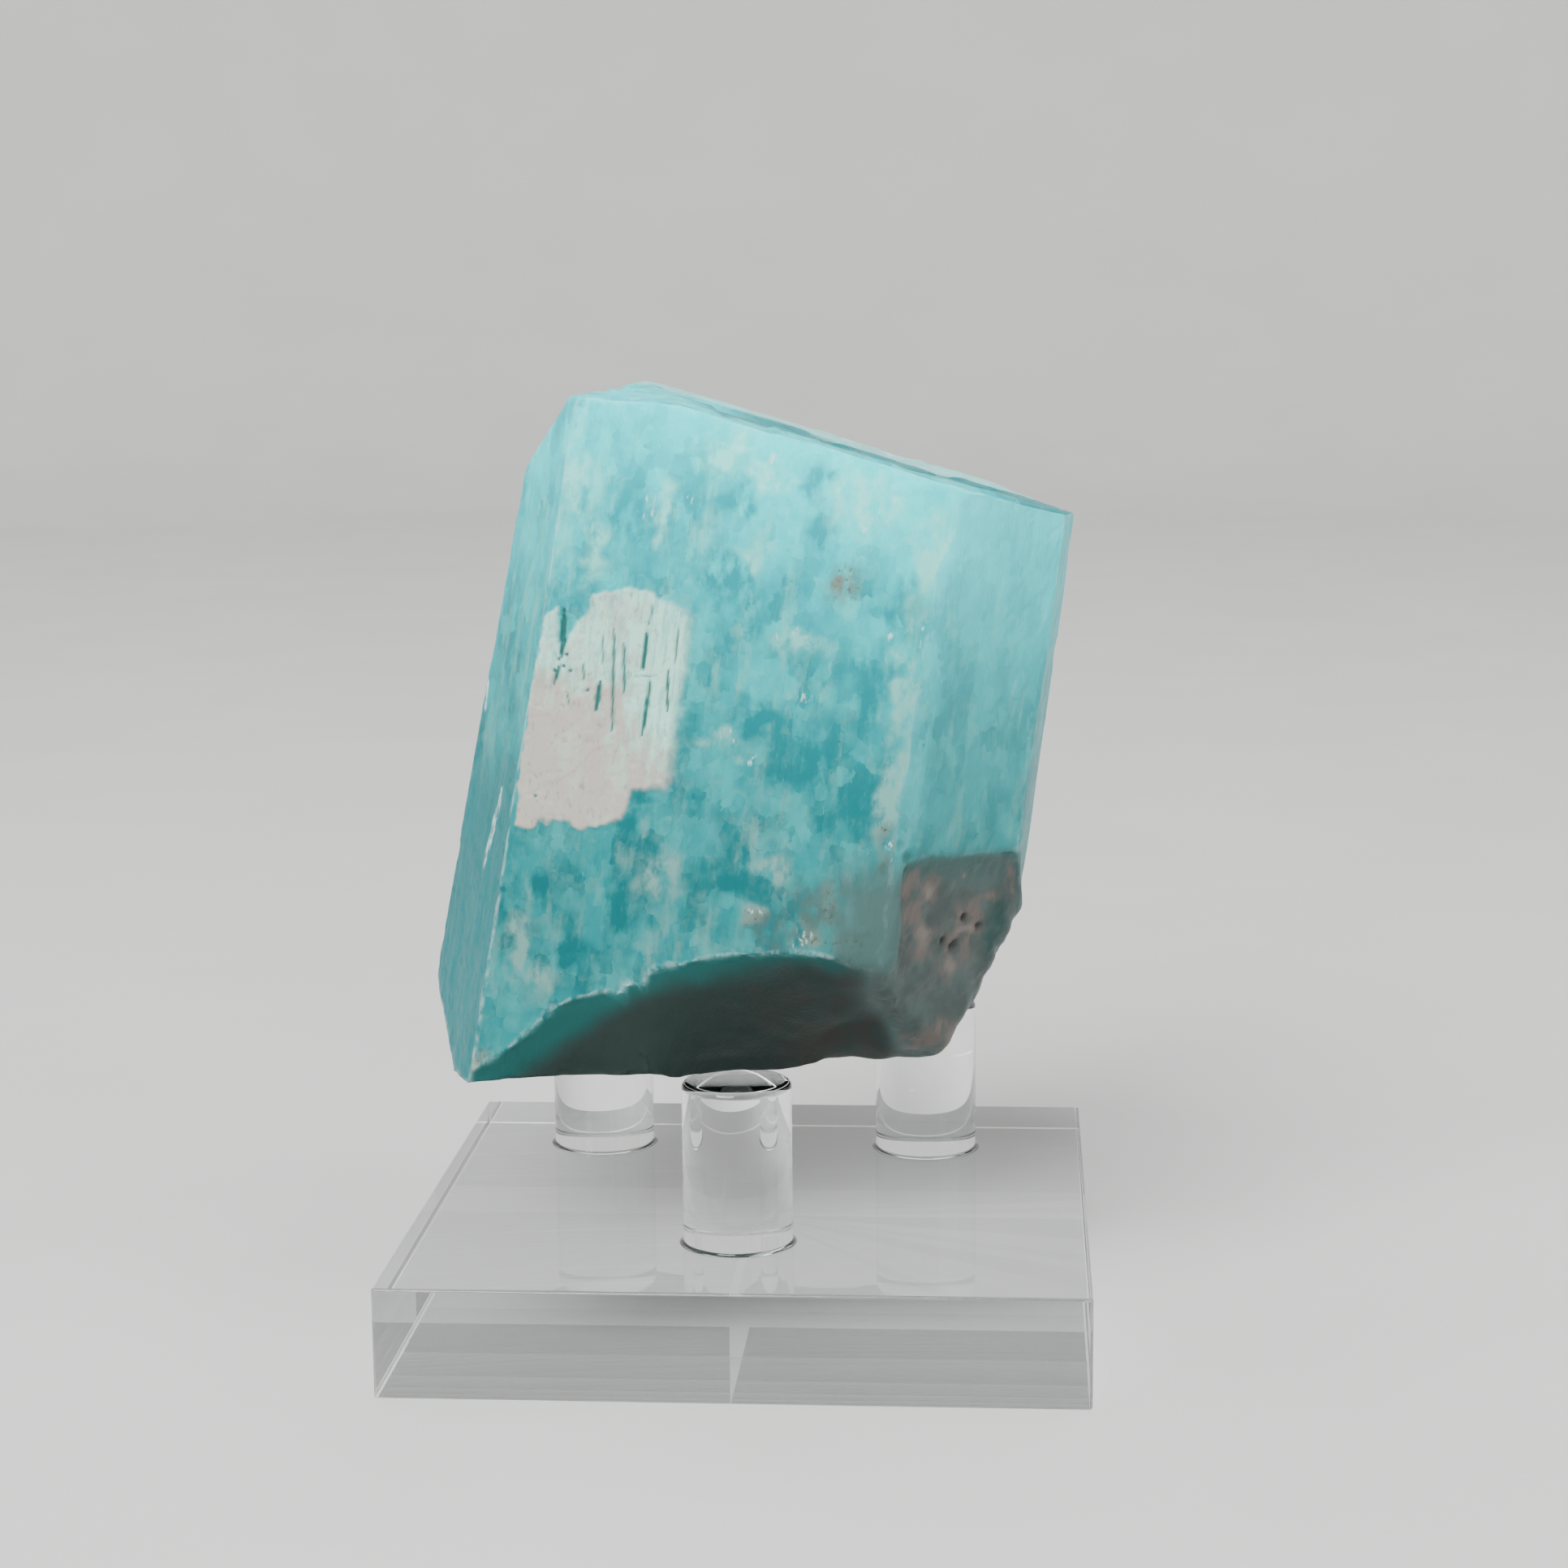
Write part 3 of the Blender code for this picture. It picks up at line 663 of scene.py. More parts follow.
    "speckWidth": 0.3,                  # as deep as a groove of this width
    # the scoop's ridge, mm across in the shared frame and above the floor
    "ridge": [(-24.0, 18.8), (-18.7, 21.7), (-13.6, 24.8), (-7.0, 28.9), (-1.5, 29.7), (5.0, 30.4),
              (11.4, 28.2)],
    # the edge beside the ledge is worn away right of this, in the shared frame, and lower than this
    "wornFrom": 7.0,
    "wornBelow": -6.4,
    # the ledge, in the shared frame: blotches as across, up, half width and half height, mm
    "tan": [(5.3, 31.3, 0.9, 0.8), (8.2, 31.2, 1.5, 0.6), (6.6, 33.8, 0.7, 2.2), (11.4, 38.6, 0.5, 0.9)],
    # painted shade at the ledge's top corner, under its step
    "notch": [(12.1, 37.6, 0.8, 1.0), (9.8, 31.2, 0.5, 0.4)],
    "ledgePale": [
        (12.4, 33.8, 0.8, 2.6), (13.6, 34.3, 0.8, 1.6), (13.0, 30.8, 0.9, 1.8), (16.4, 31.4, 1.4, 1.6),
        (15.2, 29.0, 1.5, 2.6), (19.2, 33.8, 0.6, 1.4), (17.8, 32.8, 1.0, 0.6), (14.2, 22.6, 2.0, 1.5),
        (12.6, 22.4, 1.6, 1.0),
    ],
    "ledgeBright": [
        (13.6, 34.3, 0.4, 0.9), (13.0, 31.0, 0.6, 1.2), (15.9, 34.6, 0.2, 0.25), (16.0, 30.6, 0.7, 0.4),
        (14.9, 28.2, 0.5, 0.9),
    ],
    "ledgeFacet": [(18.5, 31.0, 0.9, 2.6), (18.0, 29.2, 0.8, 1.4)],
    # how far the edges of these blotches wander, where those on the faces have 1
    "drifts": {"tan": 0.3, "notch": 0.3, "ledgePale": 0.6, "ledgeBright": 0.4, "ledgeFacet": 0.5},
    # pits and lumps: place in the shared frame, radius and height, mm
    "pits": [
        (16.0, -10.8, 31.6, 0.5, -0.3), (16.9, -9.6, 30.8, 0.45, -0.3), (14.5, -12.2, 30.2, 0.45, -0.3),
        (15.2, -11.0, 29.6, 0.5, -0.35), (11.7, -17.7, 38.1, 0.6, -0.1), (12.2, -17.4, 37.2, 0.7, -0.13),
    ],
    "lumps": [
        (18.6, -7.2, 30.2, 4.5, 0.55), (15.8, -7.5, 26.2, 4.0, 0.4), (12.0, -9.0, 22.4, 5.0, 0.85),
        (8.6, -9.6, 22.0, 3.6, 0.65),
    ],
    "lumpTop": 0.3,                     # share of the radius before a pit or lump begins to fade
    # painted shade: a pit this deep gets it fully
    "pitShadeDepth": 0.28,                    # a pit this deep is dark
}


def smoothStep(value, low, high):
    t = np.clip((value - low) / (high - low), 0.0, 1.0)
    return t * t * (3.0 - 2.0 * t)


def waves(places, width, length, seed):     # smooth noise from -1 to 1 at each place
    scaled = places / (width, width, length) + (seed, -seed, 2.0 * seed)
    return np.array([noise.noise(p) for p in scaled.tolist()])


def waveSum(places, name):              # the table's layers of noise
    return sum(height * waves(places, *layer) for height, *layer in crystalSurface[name])


def stepSum(places, name):              # and its layers that rise in steps
    return sum(height * smoothStep(waves(places, width, length, seed), low, high)
               for height, width, length, seed, low, high in crystalSurface[name])


def outlineDepth(x, y, outline):        # mm inside the outline, negative outside it
    inside = np.zeros(len(x), bool)
    nearest = np.full(len(x), 1e9)
    for (x0, y0), (x1, y1) in zip(outline, outline[1:] + outline[:1]):
        dx, dy = x1 - x0, y1 - y0
        t = np.clip(((x - x0) * dx + (y - y0) * dy) / (dx * dx + dy * dy), 0.0, 1.0)
        nearest = np.minimum(nearest, np.hypot(x - x0 - t * dx, y - y0 - t * dy))
        if dy:
            inside ^= ((y0 > y) != (y1 > y)) & (x < x0 + (y - y0) * dx / dy)
    return np.where(inside, nearest, -nearest)


def patchMask(places):
    look = crystalSurface
    x = places[:, 0] + waveSum(places, "patchAcross")
    y = places[:, 2] + waveSum(places, "patchAlong")
    left, right, softer = look["patchSoft"]
    soft = 1.0 + softer * smoothStep(x, left, right)
    return smoothStep(outlineDepth(x, y, look["patchOutline"]) / soft, -look["patchEdge"], look["patchEdge"])


def lensWidths(places, lenses):         # width of the lens shape at each place, 0 outside them
    flat, blend = crystalSurface["lensFlat"], crystalSurface["lensBlend"]
    found = np.zeros(len(places))
    waver = 1.0 + waveSum(places, "lensWaver")
    for x0, y0, x1, y1, width in lenses:
        dx, dy = x1 - x0, y1 - y0
        t = ((places[:, 0] - x0) * dx + (places[:, 2] - y0) * dy) / (dx * dx + dy * dy)
        away = np.abs((places[:, 0] - x0) * dy - (places[:, 2] - y0) * dx) / math.hypot(dx, dy)
        half = width * np.sqrt(np.clip(t * (1.0 - t), 0.0, 1.0)) * waver
        share = 1.0 - np.clip((away - flat * half) / ((1.0 - flat) * half + blend), 0.0, 1.0)
        found = np.maximum(found, np.where((t > 0.0) & (t < 1.0), width * share, 0.0))
    return found


def spotMask(places, spots, drift=1.0):     # 1 in the middle of each oval blotch, 0 outside them
    wander = np.stack([waveSum(places, "spotAcross"), waveSum(places, "spotAlong")], 1)
    moved = places[:, [0, 2]] + drift * wander
    total = np.zeros(len(places))
    for x, y, halfWide, halfLong in spots:
        away = np.hypot((moved[:, 0] - x) / halfWide, (moved[:, 1] - y) / halfLong)
        total = np.maximum(total, 1.0 - smoothStep(away, *crystalSurface["spotFade"]))
    return total


def faceKind(face, planes):             # number of the flat face that a facet lies in, 0 where it's broken
    centre = face.calc_center_median() / mm - crystalCentre
    closest, found = crystalForm["sameTurn"], 0
    for number, normal, distance in planes:
        turn = face.normal.dot(normal)
        if turn > closest and abs(normal.dot(centre) - distance) < crystalForm["sameDepth"]:
            closest, found = turn, number
    return found


def refine(bm, edges, cuts):
    bmesh.ops.subdivide_edges(bm, edges=edges, cuts=cuts, use_grid_fill=True)
    bmesh.ops.triangulate(bm, faces=[f for f in bm.faces if len(f.verts) > 3],
                          quad_method="BEAUTY", ngon_method="BEAUTY")


def isCorner(edge, kindLayer, angle):
    if len(edge.link_faces) != 2:
        return True
    first, second = (face[kindLayer] for face in edge.link_faces)
    return first != second or (first == 0 and edge.calc_face_angle() > angle)


cornerMarks = ("corner", "ridgeLine", "softEdge")      # marks on the refined solid's corners


def isWorn(edge, kindLayer, numbers):   # the corners that are worn round
    kinds = {face[kindLayer] for face in edge.link_faces}
    middle = (edge.verts[0].co + edge.verts[1].co) / 2 / mm
    low = axisAlong.dot(middle - crystalCentre) < crystalSurface["wornBelow"]
    besideLedge = middle.x > crystalSurface["wornFrom"] and middle.y < 0.0 and low
    rounded = {numbers[name] for name in crystalForm["roundly"]}
    return kinds == rounded or (besideLedge and kinds <= rounded | {0})


def relaxCorners(corners, passes):
    # each corner vertex moves towards the middle of its two neighbours on the corner
    beside = {}
    for edge in corners:
        for vert in edge.verts:
            beside.setdefault(vert, []).append(edge.other_vert(vert))
    chain = {vert: ends for vert, ends in beside.items() if len(ends) == 2}
    for _ in range(passes):
        aims = {vert: 0.5 * vert.co + 0.25 * (a.co + b.co) for vert, (a, b) in chain.items()}
        for vert, aim in aims.items():
            vert.co = aim


def smooth(bm, verts, passes):
    for _ in range(passes):
        bmesh.ops.smooth_vert(bm, verts=verts, factor=0.5, use_axis_x=True, use_axis_y=True, use_axis_z=True)


def markKinds(bm, numbers):             # each facet gets its face's number
    kindLayer = bm.faces.layers.int.new("kind")
    planes = [(numbers[name], direction(azimuth, tilt), distance)
              for name, (azimuth, tilt, distance) in crystalForm["faces"].items()]
    for face in bm.faces:
        face[kindLayer] = faceKind(face, planes)
    for face in bm.faces:               # a lone facet takes the kind of its neighbours
        around = [other[kindLayer] for edge in face.edges for other in edge.link_faces if other is not face]
        if face[kindLayer] not in around:
            face[kindLayer] = max(around, key=around.count)
    return kindLayer


def easeSolid(bm, kindLayer, numbers):
    # cuts every edge, then evens out the corners, what lies between them, and the worn corners most
    look = crystalSurface
    angle = math.radians(look["cornerAngle"])
    refine(bm, bm.edges[:], look["baseCuts"])
    bm.normal_update()
    corners = [e for e in bm.edges if isCorner(e, kindLayer, angle)]
    crisp = [e for e in corners if not isWorn(e, kindLayer, numbers)]
    relaxCorners(crisp, look["cornerPasses"])
    fixed = {v for e in crisp for v in e.verts}
    smooth(bm, [v for v in bm.verts if v not in fixed], look["facePasses"])
    worn = {v for e in bm.edges if isCorner(e, kindLayer, angle) and isWorn(e, kindLayer, numbers)
            for v in e.verts}
    for _ in range(look["wornReach"]):
        worn |= {e.other_vert(v) for v in worn for e in v.link_edges}
    smooth(bm, list(worn - fixed), look["wornPasses"])


def addDetail(bm, kindLayer, numbers):  # finer facets where there is fine relief
    look = crystalSurface
    detailed = {0, numbers["front"], numbers["right"], numbers["left"]}
    refine(bm, [e for e in bm.edges if all(f[kindLayer] in detailed for f in e.link_faces)
                and e.verts[0].co.y < look["detailDepth"] * mm], look["visibleCuts"])
    left, right, low, high = look["patchZone"]
    zone = set()
    for vert in bm.verts:
        place = vert.co / mm - crystalCentre
        onFront = any(face[kindLayer] == numbers["front"] for face in vert.link_faces)
        if onFront and left < axisAcross.dot(place) < right and low < axisAlong.dot(place) < high:
            zone.add(vert)
    refine(bm, [e for e in bm.edges if e.verts[0] in zone and e.verts[1] in zone], look["patchCuts"])
    bm.normal_update()


def markCorners(bm, kindLayer, numbers):
    angle = math.radians(crystalSurface["cornerAngle"])
    cornerLayer, ridgeLayer, softLayer = (bm.verts.layers.float.new(name) for name in cornerMarks)
    for edge in bm.edges:
        if isCorner(edge, kindLayer, angle):
            onRidge = {face[kindLayer] for face in edge.link_faces} == {0, numbers["front"]}
            worn = isWorn(edge, kindLayer, numbers)
            for vert in edge.verts:
                vert[cornerLayer] = 1.0
                if onRidge:
                    vert[ridgeLayer] = 1.0
                if worn:
                    vert[softLayer] = 1.0


def refinedCrystal(numbers):
    bm = bmesh.new()
    bm.from_mesh(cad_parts["amazonite_crystal"].data)
    bmesh.ops.remove_doubles(bm, verts=bm.verts, dist=crystalSurface["weld"] * mm)
    bm.normal_update()
    kindLayer = markKinds(bm, numbers)
    easeSolid(bm, kindLayer, numbers)
    addDetail(bm, kindLayer, numbers)
    markCorners(bm, kindLayer, numbers)
    mesh = bpy.data.meshes.new("crystal_surface")
    bm.to_mesh(mesh)
    bm.free()
    print("crystal", len(mesh.polygons), "triangles")
    return mesh


def readValues(data, name, count, size=1, kind=np.float32):
    values = np.empty(count * size, kind)
    data.foreach_get(name, values)
    return values.reshape(-1, size) if size > 1 else values


def blurred(values, ends, passes):      # each vertex takes the mean of itself and its neighbours
    near = np.bincount(ends.ravel(), minlength=len(values)) + 1.0
    for _ in range(passes):
        total = values.copy()
        np.add.at(total, ends[:, 0], values[ends[:, 1]])
        np.add.at(total, ends[:, 1], values[ends[:, 0]])
        values = total / near.reshape((-1,) + (1,) * (values.ndim - 1))
    return values


def readSkin(mesh, numbers):
    # the refined mesh as arrays: points, normals and places, the ends of its edges and its facets
    count = len(mesh.vertices)
    skin = SimpleNamespace(numbers=numbers, count=count)
    skin.points = readValues(mesh.vertices, "co", count, 3).astype(float)
    skin.normals = readValues(mesh.vertex_normals, "vector", count, 3).astype(float)
    skin.places = (skin.points / mm - crystalCentre) @ np.array([axisAcross, axisOut, axisAlong]).T
    skin.wobble = waveSum(skin.places, "wobble")
    skin.ends = readValues(mesh.edges, "vertices", len(mesh.edges), 2, np.int32)
    facets = readValues(mesh.loops, "vertex_index", len(mesh.loops), 1, np.int32)
    skin.facets = facets.reshape(-1, 3)
    skin.kinds = readValues(mesh.attributes["kind"].data, "value", len(mesh.polygons), 1, np.int32)
    skin.marks = {name: readValues(mesh.attributes[name].data, "value", count).astype(float)
                  for name in cornerMarks}
    for name in ("kind", *cornerMarks):
        mesh.attributes.remove(mesh.attributes[name])
    return skin


def touches(skin, *names):              # 1 on the named faces and their corners, 0 elsewhere
    mask = np.zeros(skin.count)
    mask[skin.facets[np.isin(skin.kinds, [skin.numbers[name] for name in names])].ravel()] = 1.0
    return mask


def rises(skin, name, value):           # 0 to 1 along a value, at the line that the table gives
    low, high, waver, slant = (*crystalSurface["rises"][name], 0.0, 0.0)[:4]
    return smoothStep(value + slant * skin.places[:, 0] + waver * skin.wobble, low, high)


def besideMark(skin, name, gain, passes):       # 1 near the marked corners, fading away from them
    return np.minimum(1.0, gain * blurred(skin.marks[name], skin.ends, passes))


def findParts(skin):
    # masks of the ledge, the scoop, the other broken parts, the coating and its grooves
    look = crystalSurface
    x, y, z = skin.places.T
    front = touches(skin, "front")
    broken = 1.0 - touches(skin, *crystalForm["faces"])
    lean, leanBelow = look["ledgeLean"]
    ledge = broken * rises(skin, "ledgeRight", x + lean * np.minimum(z - leanBelow, 0.0))
    ledge *= rises(skin, "ledgeOut", y) * rises(skin, "ledgeBeyond", skin.points[:, 0] / mm)
    scoop = broken * (1.0 - ledge) * rises(skin, "scoopDown", -z) * rises(skin, "scoopOut", y)
    bare = broken * (1.0 - ledge) * (1.0 - scoop)
    skin.ledge, skin.scoop, skin.bare = (blurred(mask, skin.ends, look["blurs"]["parts"])
                                         for mask in (ledge, scoop, bare))
    skin.patch = front * patchMask(skin.places)
    groove = lensWidths(skin.places, look["grooves"])
    for across, along in look["specks"]:
        speck = 1.0 - smoothStep(np.hypot(x - across, z - along), *look["speckRadius"])
        groove = np.maximum(groove, look["speckWidth"] * speck)
    skin.groove = front * groove


def crystalRelief(skin, cornerNear):
    # mm outwards: growth on the flat faces, fracture on the broken ones, chips, coating and grooves
    look = crystalSurface
    whole = touches(skin, *crystalForm["faces"])
    grown = waveSum(skin.places, "ribs") + stepSum(skin.places, "terraces") - look["growthSink"]
    rough = skin.ledge + look["bareRoughness"] * skin.bare
    fracture = waveSum(skin.places, "smoothBreak") * (1.0 - rough)
    fracture += waveSum(skin.places, "roughBreak") * rough
    height = whole * grown + (1.0 - whole) * (fracture - look["brokenSink"])
    height -= touches(skin, *crystalForm["crown"]) * stepSum(skin.places, "crownSteps")
    ridgeNear = besideMark(skin, "ridgeLine", look["nearGain"], look["nearPasses"])
    chip = look["crispChip"] + (look["brokenChip"] - look["crispChip"]) * ridgeNear
    height = height * (1.0 - cornerNear) - cornerNear * chip * stepSum(skin.places, "chips")
    return height + look["patchHeight"] * skin.patch - look["grooveDepth"] * skin.groove


def shapeSkin(skin):
    look = crystalSurface
    points = skin.points                # changed in place
    cornerNear = besideMark(skin, "corner", look["nearGain"], look["nearPasses"])
    points += skin.normals * (crystalRelief(skin, cornerNear) * mm)[:, None]
    points += (look["cornerWear"] * cornerNear)[:, None] * (blurred(points, skin.ends, 1) - points)
    skin.ahead = rises(skin, "ahead", skin.places[:, 1])
    skin.worn = skin.ahead * np.minimum(1.0, skin.bare + skin.scoop)
    skin.worn *= rises(skin, "wornRight", points[:, 0] / mm)
    skin.soft = np.maximum(besideMark(skin, "softEdge", look["softGain"], look["softReach"]), skin.worn)
    for _ in range(look["softPasses"]):
        points += skin.soft[:, None] * (blurred(points, skin.ends, 1) - points)

    # painted shade in the pits, darker the deeper they are
    skin.pit = np.zeros(skin.count)
    for px, py, pz, radius, height in look["pits"] + look["lumps"]:
        away = np.linalg.norm(points / mm - (px, py, pz), axis=1)
        near = 1.0 - smoothStep(away, look["lumpTop"] * radius, radius)
        points += skin.normals * (height * near * mm)[:, None]
        if height < 0.0:
            skin.pit = np.maximum(skin.pit, near * min(1.0, -height / look["pitShadeDepth"]))

    # the foot comes down to the pegs
    pegs = [sum(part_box(name), Vector()).xy / 2 for name in stand["pegs"]]
    away = np.min([np.linalg.norm(points[:, :2] - tuple(peg), axis=1) for peg in pegs], axis=0) / mm
    onFoot = 1.0 - rises(skin, "foot", (points[:, 2] - points[:, 2].min()) / mm)
    onPeg = 1.0 - smoothStep(away, look["seatReach"], look["seatReach"] + look["seatBlend"])
    points[:, 2] -= look["seatDrop"] * mm * onFoot * onPeg


def rimFineness(skin):
    # coarse stretches of the mesh get a fainter rim, because its line is wider there
    ends = skin.ends
    lengths = np.linalg.norm(skin.points[ends[:, 0]] - skin.points[ends[:, 1]], axis=1) / mm
    totals = np.bincount(ends.ravel(), np.repeat(lengths, 2), skin.count)
    reach = totals / np.bincount(ends.ravel(), minlength=skin.count)
    return np.clip(crystalSurface["rimLength"] / reach, 0.0, 1.0) ** 2


def edgeMasks(skin):
    # painted highlights: rims along the corners, partly pale chips, and glints on the left face; and the
    # crown's painted dark band and its pale back edge, partly painted highlight
    look = crystalSurface
    gains = look["gains"]
    cornerLine, ridgeLine = (blurred(skin.marks[name], skin.ends, look["blurs"]["lines"])
                             for name in ("corner", "ridgeLine"))
    # rims of painted highlight along the corners, partly pale chips
    rim = gains["rim"] * cornerLine * (1.0 - np.maximum(skin.scoop, skin.ledge))
    onLeft = rises(skin, "ridgeLeft", -skin.points[:, 0] / mm)
    rim = np.maximum(rim, gains["ridgeRim"] * rises(skin, "ridgeLine", ridgeLine) * onLeft)
    rim *= rimFineness(skin)
    glints = np.minimum(1.0, gains["leftGlints"] * lensWidths(skin.places, look["leftGlints"]))
    rim = np.maximum(rim, touches(skin, "left") * glints)

    sides = touches(skin, "front", "left", "chamferLeft", "right", "sideRight")
    crown = touches(skin, *crystalForm["crown"]) * (1.0 - sides)
    back = crystalForm["faces"]["front"][2] - skin.places[:, 1]
    drift = waveSum(skin.places, "crownDrift")
    # the crown's pale back edge, partly painted highlight
    backEdge = crown * rises(skin, "crownBack", back + look["gains"]["backDrift"] * drift)
    # painted shade: a darker band on the top faces, away from the front and the left end
    crownShadeBand = rises(skin, "crownRight", skin.places[:, 0] + drift) * rises(skin, "crownDark", back + drift)
    return {"rim": rim * (1.0 - skin.soft), "crownPaleHighlight": backEdge,
            "crown": gains["crown"] * crown * crownShadeBand * (1.0 - backEdge)}


def faceMasks(skin):
    # the coating, the blotches with their own places, and the broad shades of the whole faces
    look = crystalSurface
    x, _, z = skin.places.T
    shared = skin.points / mm
    front = touches(skin, "front")
    spots = {name: spotMask(skin.places, look[name]) for name in ("deep", "milky", "stain", "dull", "glint")}
    # the ledge's tan stains join the stains, and the painted shade at the ledge's corner joins the painted
    # shade of the front
    for name, added in (("stain", "tan"), ("dull", "notch")):
        spots[name] = np.maximum(spots[name], spotMask(shared, look[added], look["drifts"][added]))
    thinTop = look["gains"]["thinTop"] * rises(skin, "thinTop", z)
    # the top of the front and right faces paler, partly painted light from above
    bright = np.maximum(front, look["gains"]["brightRight"] * touches(skin, "right"))
    return {
        **{name: front * mask for name, mask in spots.items()},
        "patch": skin.patch,
        "groove": np.minimum(1.0, look["gains"]["groove"] * skin.groove),
        "thin": np.maximum(rises(skin, "thinRight", x) * rises(skin, "thinUp", z), thinTop),
        "bright": bright * rises(skin, "bright", z),
        "leftLow": touches(skin, "left", "sideLeft") * rises(skin, "leftLow", -z),
        "shadeNearLedge": skin.ahead * rises(skin, "dullRight", x) * rises(skin, "dullDown", -z),
        "cool": blurred(touches(skin, *crystalForm["cool"]), skin.ends, look["blurs"]["cool"]),
    }


def brokenMasks(skin):
    look = crystalSurface
    shared = skin.points / mm
    faded = skin.ahead * rises(skin, "fadeRight", shared[:, 0]) * rises(skin, "fadeUp", shared[:, 2])
    belowRidge = np.interp(shared[:, 0], *zip(*look["ridge"])) - shared[:, 2]
    onLedge = {name: spotMask(shared, look[name], look["drifts"][name])
               for name in ("ledgePale", "ledgeBright", "ledgeFacet")}
    return {
        "bare": skin.bare * (1.0 - faded),
        "scoop": skin.scoop * (1.0 - faded),
        # painted shade in the scoop, deeper further under the ridge
        "greying": rises(skin, "greying", belowRidge),
        "brown": rises(skin, "brown", shared[:, 0]),
        "worn": blurred(skin.worn, skin.ends, look["blurs"]["worn"]),
        "ledge": blurred(skin.ledge, skin.ends, look["blurs"]["ledge"]),
        "ledgeLow": rises(skin, "ledgeLow", -skin.places[:, 2]),
        "ledgePale": onLedge["ledgePale"],
        "ledgeBright": look["gains"]["ledgeBright"] * onLedge["ledgeBright"],
        "ledgeFacet": onLedge["ledgeFacet"] * skin.ahead,
        "pit": skin.pit,
    }


def crystalPiece():
    numbers = {name: number + 1 for number, name in enumerate(crystalForm["faces"])}
    for name in crystalForm["softly"]:
        numbers[name] = numbers["front"]
    mesh = refinedCrystal(numbers)
    skin = readSkin(mesh, numbers)
    findParts(skin)
    shapeSkin(skin)
    mesh.vertices.foreach_set("co", skin.points.astype(np.float32).ravel())
    print("crystal shaped")
    for name, values in {**edgeMasks(skin), **faceMasks(skin), **brokenMasks(skin)}.items():
        layer = mesh.attributes.new(name, "FLOAT", "POINT")
        layer.data.foreach_set("value", np.clip(values, 0.0, 1.0).astype(np.float32))
    mesh.shade_smooth()
    mesh.set_sharp_from_angle(angle=math.radians(crystalSurface["sharpAngle"]))
    mesh.materials.append(amazoniteMaterial())
    piece = bpy.data.objects.new("crystal_surface", mesh)
    bpy.context.scene.collection.objects.link(piece)
    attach(piece, "root")
    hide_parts("amazonite_crystal")
    print("crystal painted")


studio = {
    # a round floor that curves up into a pale wall, m
    "floorReach": 0.75,
    "curve": 0.25,
    "wallTop": 0.5,
    "wallSides": 96,
    "curveSteps": 12,
    "floorPale": paint(0.64, 0.64, 0.63),
    "floorShade": paint(0.59, 0.59, 0.58),
    "floorGrain": (30.0, 5.0),          # scale and detail of the noise, and where it begins and is whole
    "floorRise": (0.3, 0.7),
    "floorShading": 0.5,
    "floorRoughness": 0.6,
    "floorSpecular": 0.2,
    "worldColour": paint(1.0, 1.0, 1.0),
    "worldStrength": 0.42,
    # place, aim, size, watts
    "lights": {
        "ceiling": ((0.0, 0.1, 1.05), (0.0, 0.0, 0.0), (1.1, 1.1), 8.0),
        "key": ((-0.25, -0.55, 0.60), (0.0, 0.0, 0.045), (0.45, 0.45), 10.5),
        "fill": ((0.60, -0.35, 0.50), (0.0, 0.0, 0.045), (0.80, 0.80), 3.5),
    },
}


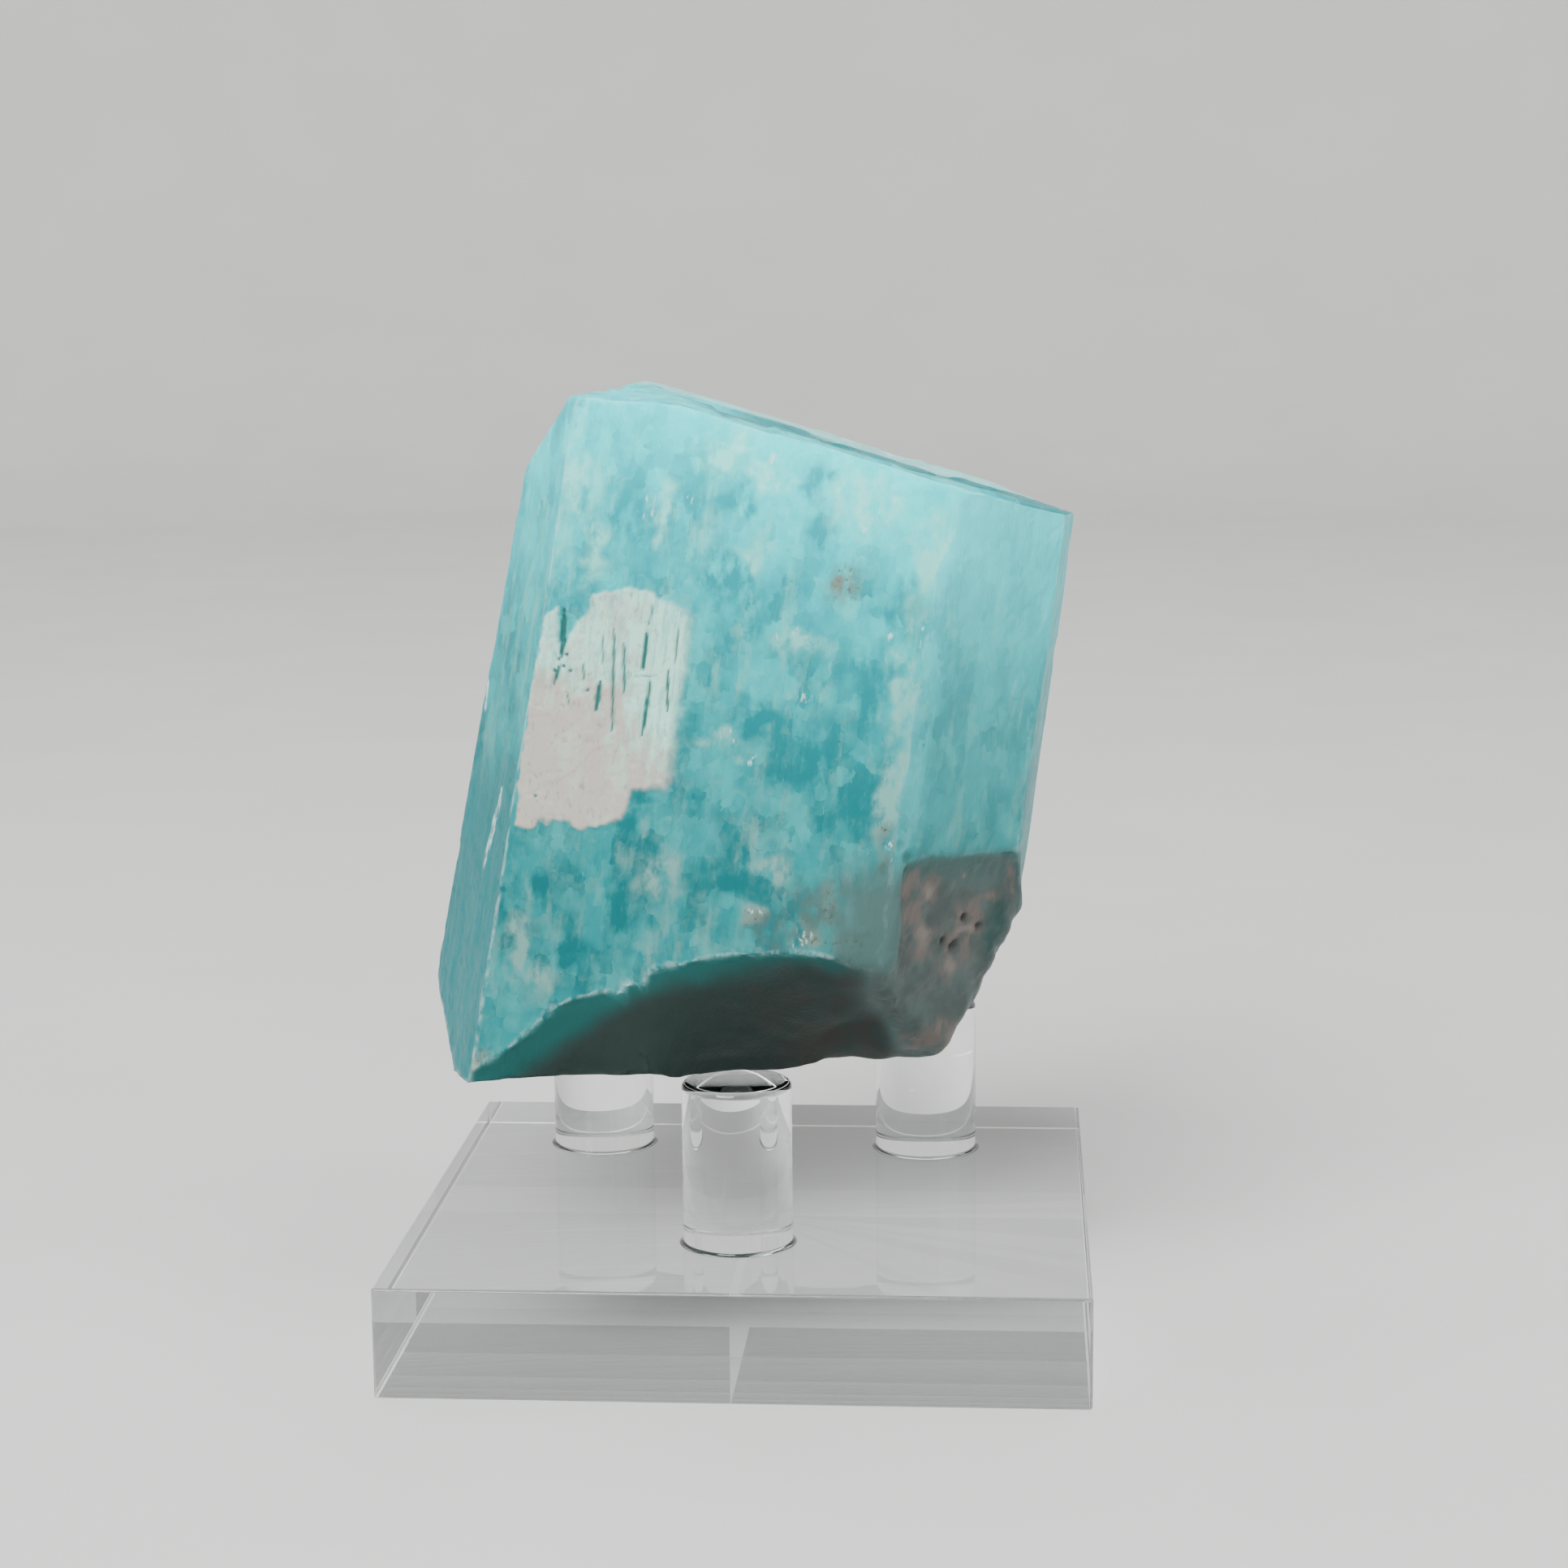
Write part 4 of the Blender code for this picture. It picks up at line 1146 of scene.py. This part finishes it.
def floorMaterial():
    mat, tree, shader = newMaterial("pale floor")
    place = addNode(tree, "TexCoord").outputs["Object"]
    scale, detail = studio["floorGrain"]
    grain = addNode(tree, "TexNoise", {"Vector": place, "Scale": scale, "Detail": detail}).outputs["Fac"]
    share = times(tree, ramp(tree, grain, *studio["floorRise"]), studio["floorShading"])
    shade = mixColour(tree, share, studio["floorPale"], studio["floorShade"])
    tree.links.new(shade, shader.inputs["Base Color"])
    shader.inputs["Roughness"].default_value = studio["floorRoughness"]
    shader.inputs["Specular IOR Level"].default_value = studio["floorSpecular"]
    return mat


def makeStudio():
    reach, curve = studio["floorReach"], studio["curve"]
    profile = [(0.0, 0.0)]
    profile += [(reach + curve * math.sin(a), curve * (1 - math.cos(a)))
                for a in quarterTurn(studio["curveSteps"])]
    profile += [(reach + curve, studio["wallTop"])]
    bm = bmesh.new()
    turned(bm, profile, (0.0, 0.0), studio["wallSides"])
    backdrop = meshObject("backdrop", bm)
    backdrop.data.shade_smooth()
    backdrop.data.materials.append(floorMaterial())
    for name, (spot, aim, size, watts) in studio["lights"].items():
        light = bpy.data.lights.new(name, "AREA")
        light.shape = "RECTANGLE"
        light.size, light.size_y = size
        light.energy = watts
        lamp = bpy.data.objects.new(name, light)
        bpy.context.scene.collection.objects.link(lamp)
        lamp.location = spot
        lamp.rotation_euler = (Vector(aim) - Vector(spot)).to_track_quat("-Z", "Y").to_euler()
    world = bpy.data.worlds.new("studio")
    world.use_nodes = True
    shade = world.node_tree.nodes["Background"]
    shade.inputs["Color"].default_value = studio["worldColour"]
    shade.inputs["Strength"].default_value = studio["worldStrength"]
    bpy.context.scene.world = world


cameraView = {
    "lens": 72.2,                       # mm, and the width of its frame
    "frameWidth": 36.0,
    "clipStart": 0.01,
    "place": (0.01934, -0.23209, 0.07773),
    "yaw": -4.20,                       # degrees
    "down": 9.33,
    "roll": -0.542,
}


def makeCamera():
    yaw, down, roll = (math.radians(cameraView[name]) for name in ("yaw", "down", "roll"))
    data = bpy.data.cameras.new("camera")
    data.sensor_width = cameraView["frameWidth"]
    data.lens = cameraView["lens"]
    data.clip_start = cameraView["clipStart"]
    camera = bpy.data.objects.new("camera", data)
    bpy.context.scene.collection.objects.link(camera)
    turn = Matrix.Rotation(-yaw, 4, "Z") @ Matrix.Rotation(math.pi / 2 - down, 4, "X")
    camera.matrix_world = Matrix.Translation(cameraView["place"]) @ turn @ Matrix.Rotation(roll, 4, "Z")
    bpy.context.scene.camera = camera


makeCamera()
print("camera set")
makeStudio()
print("studio set")
clearStand()
crystalPiece()
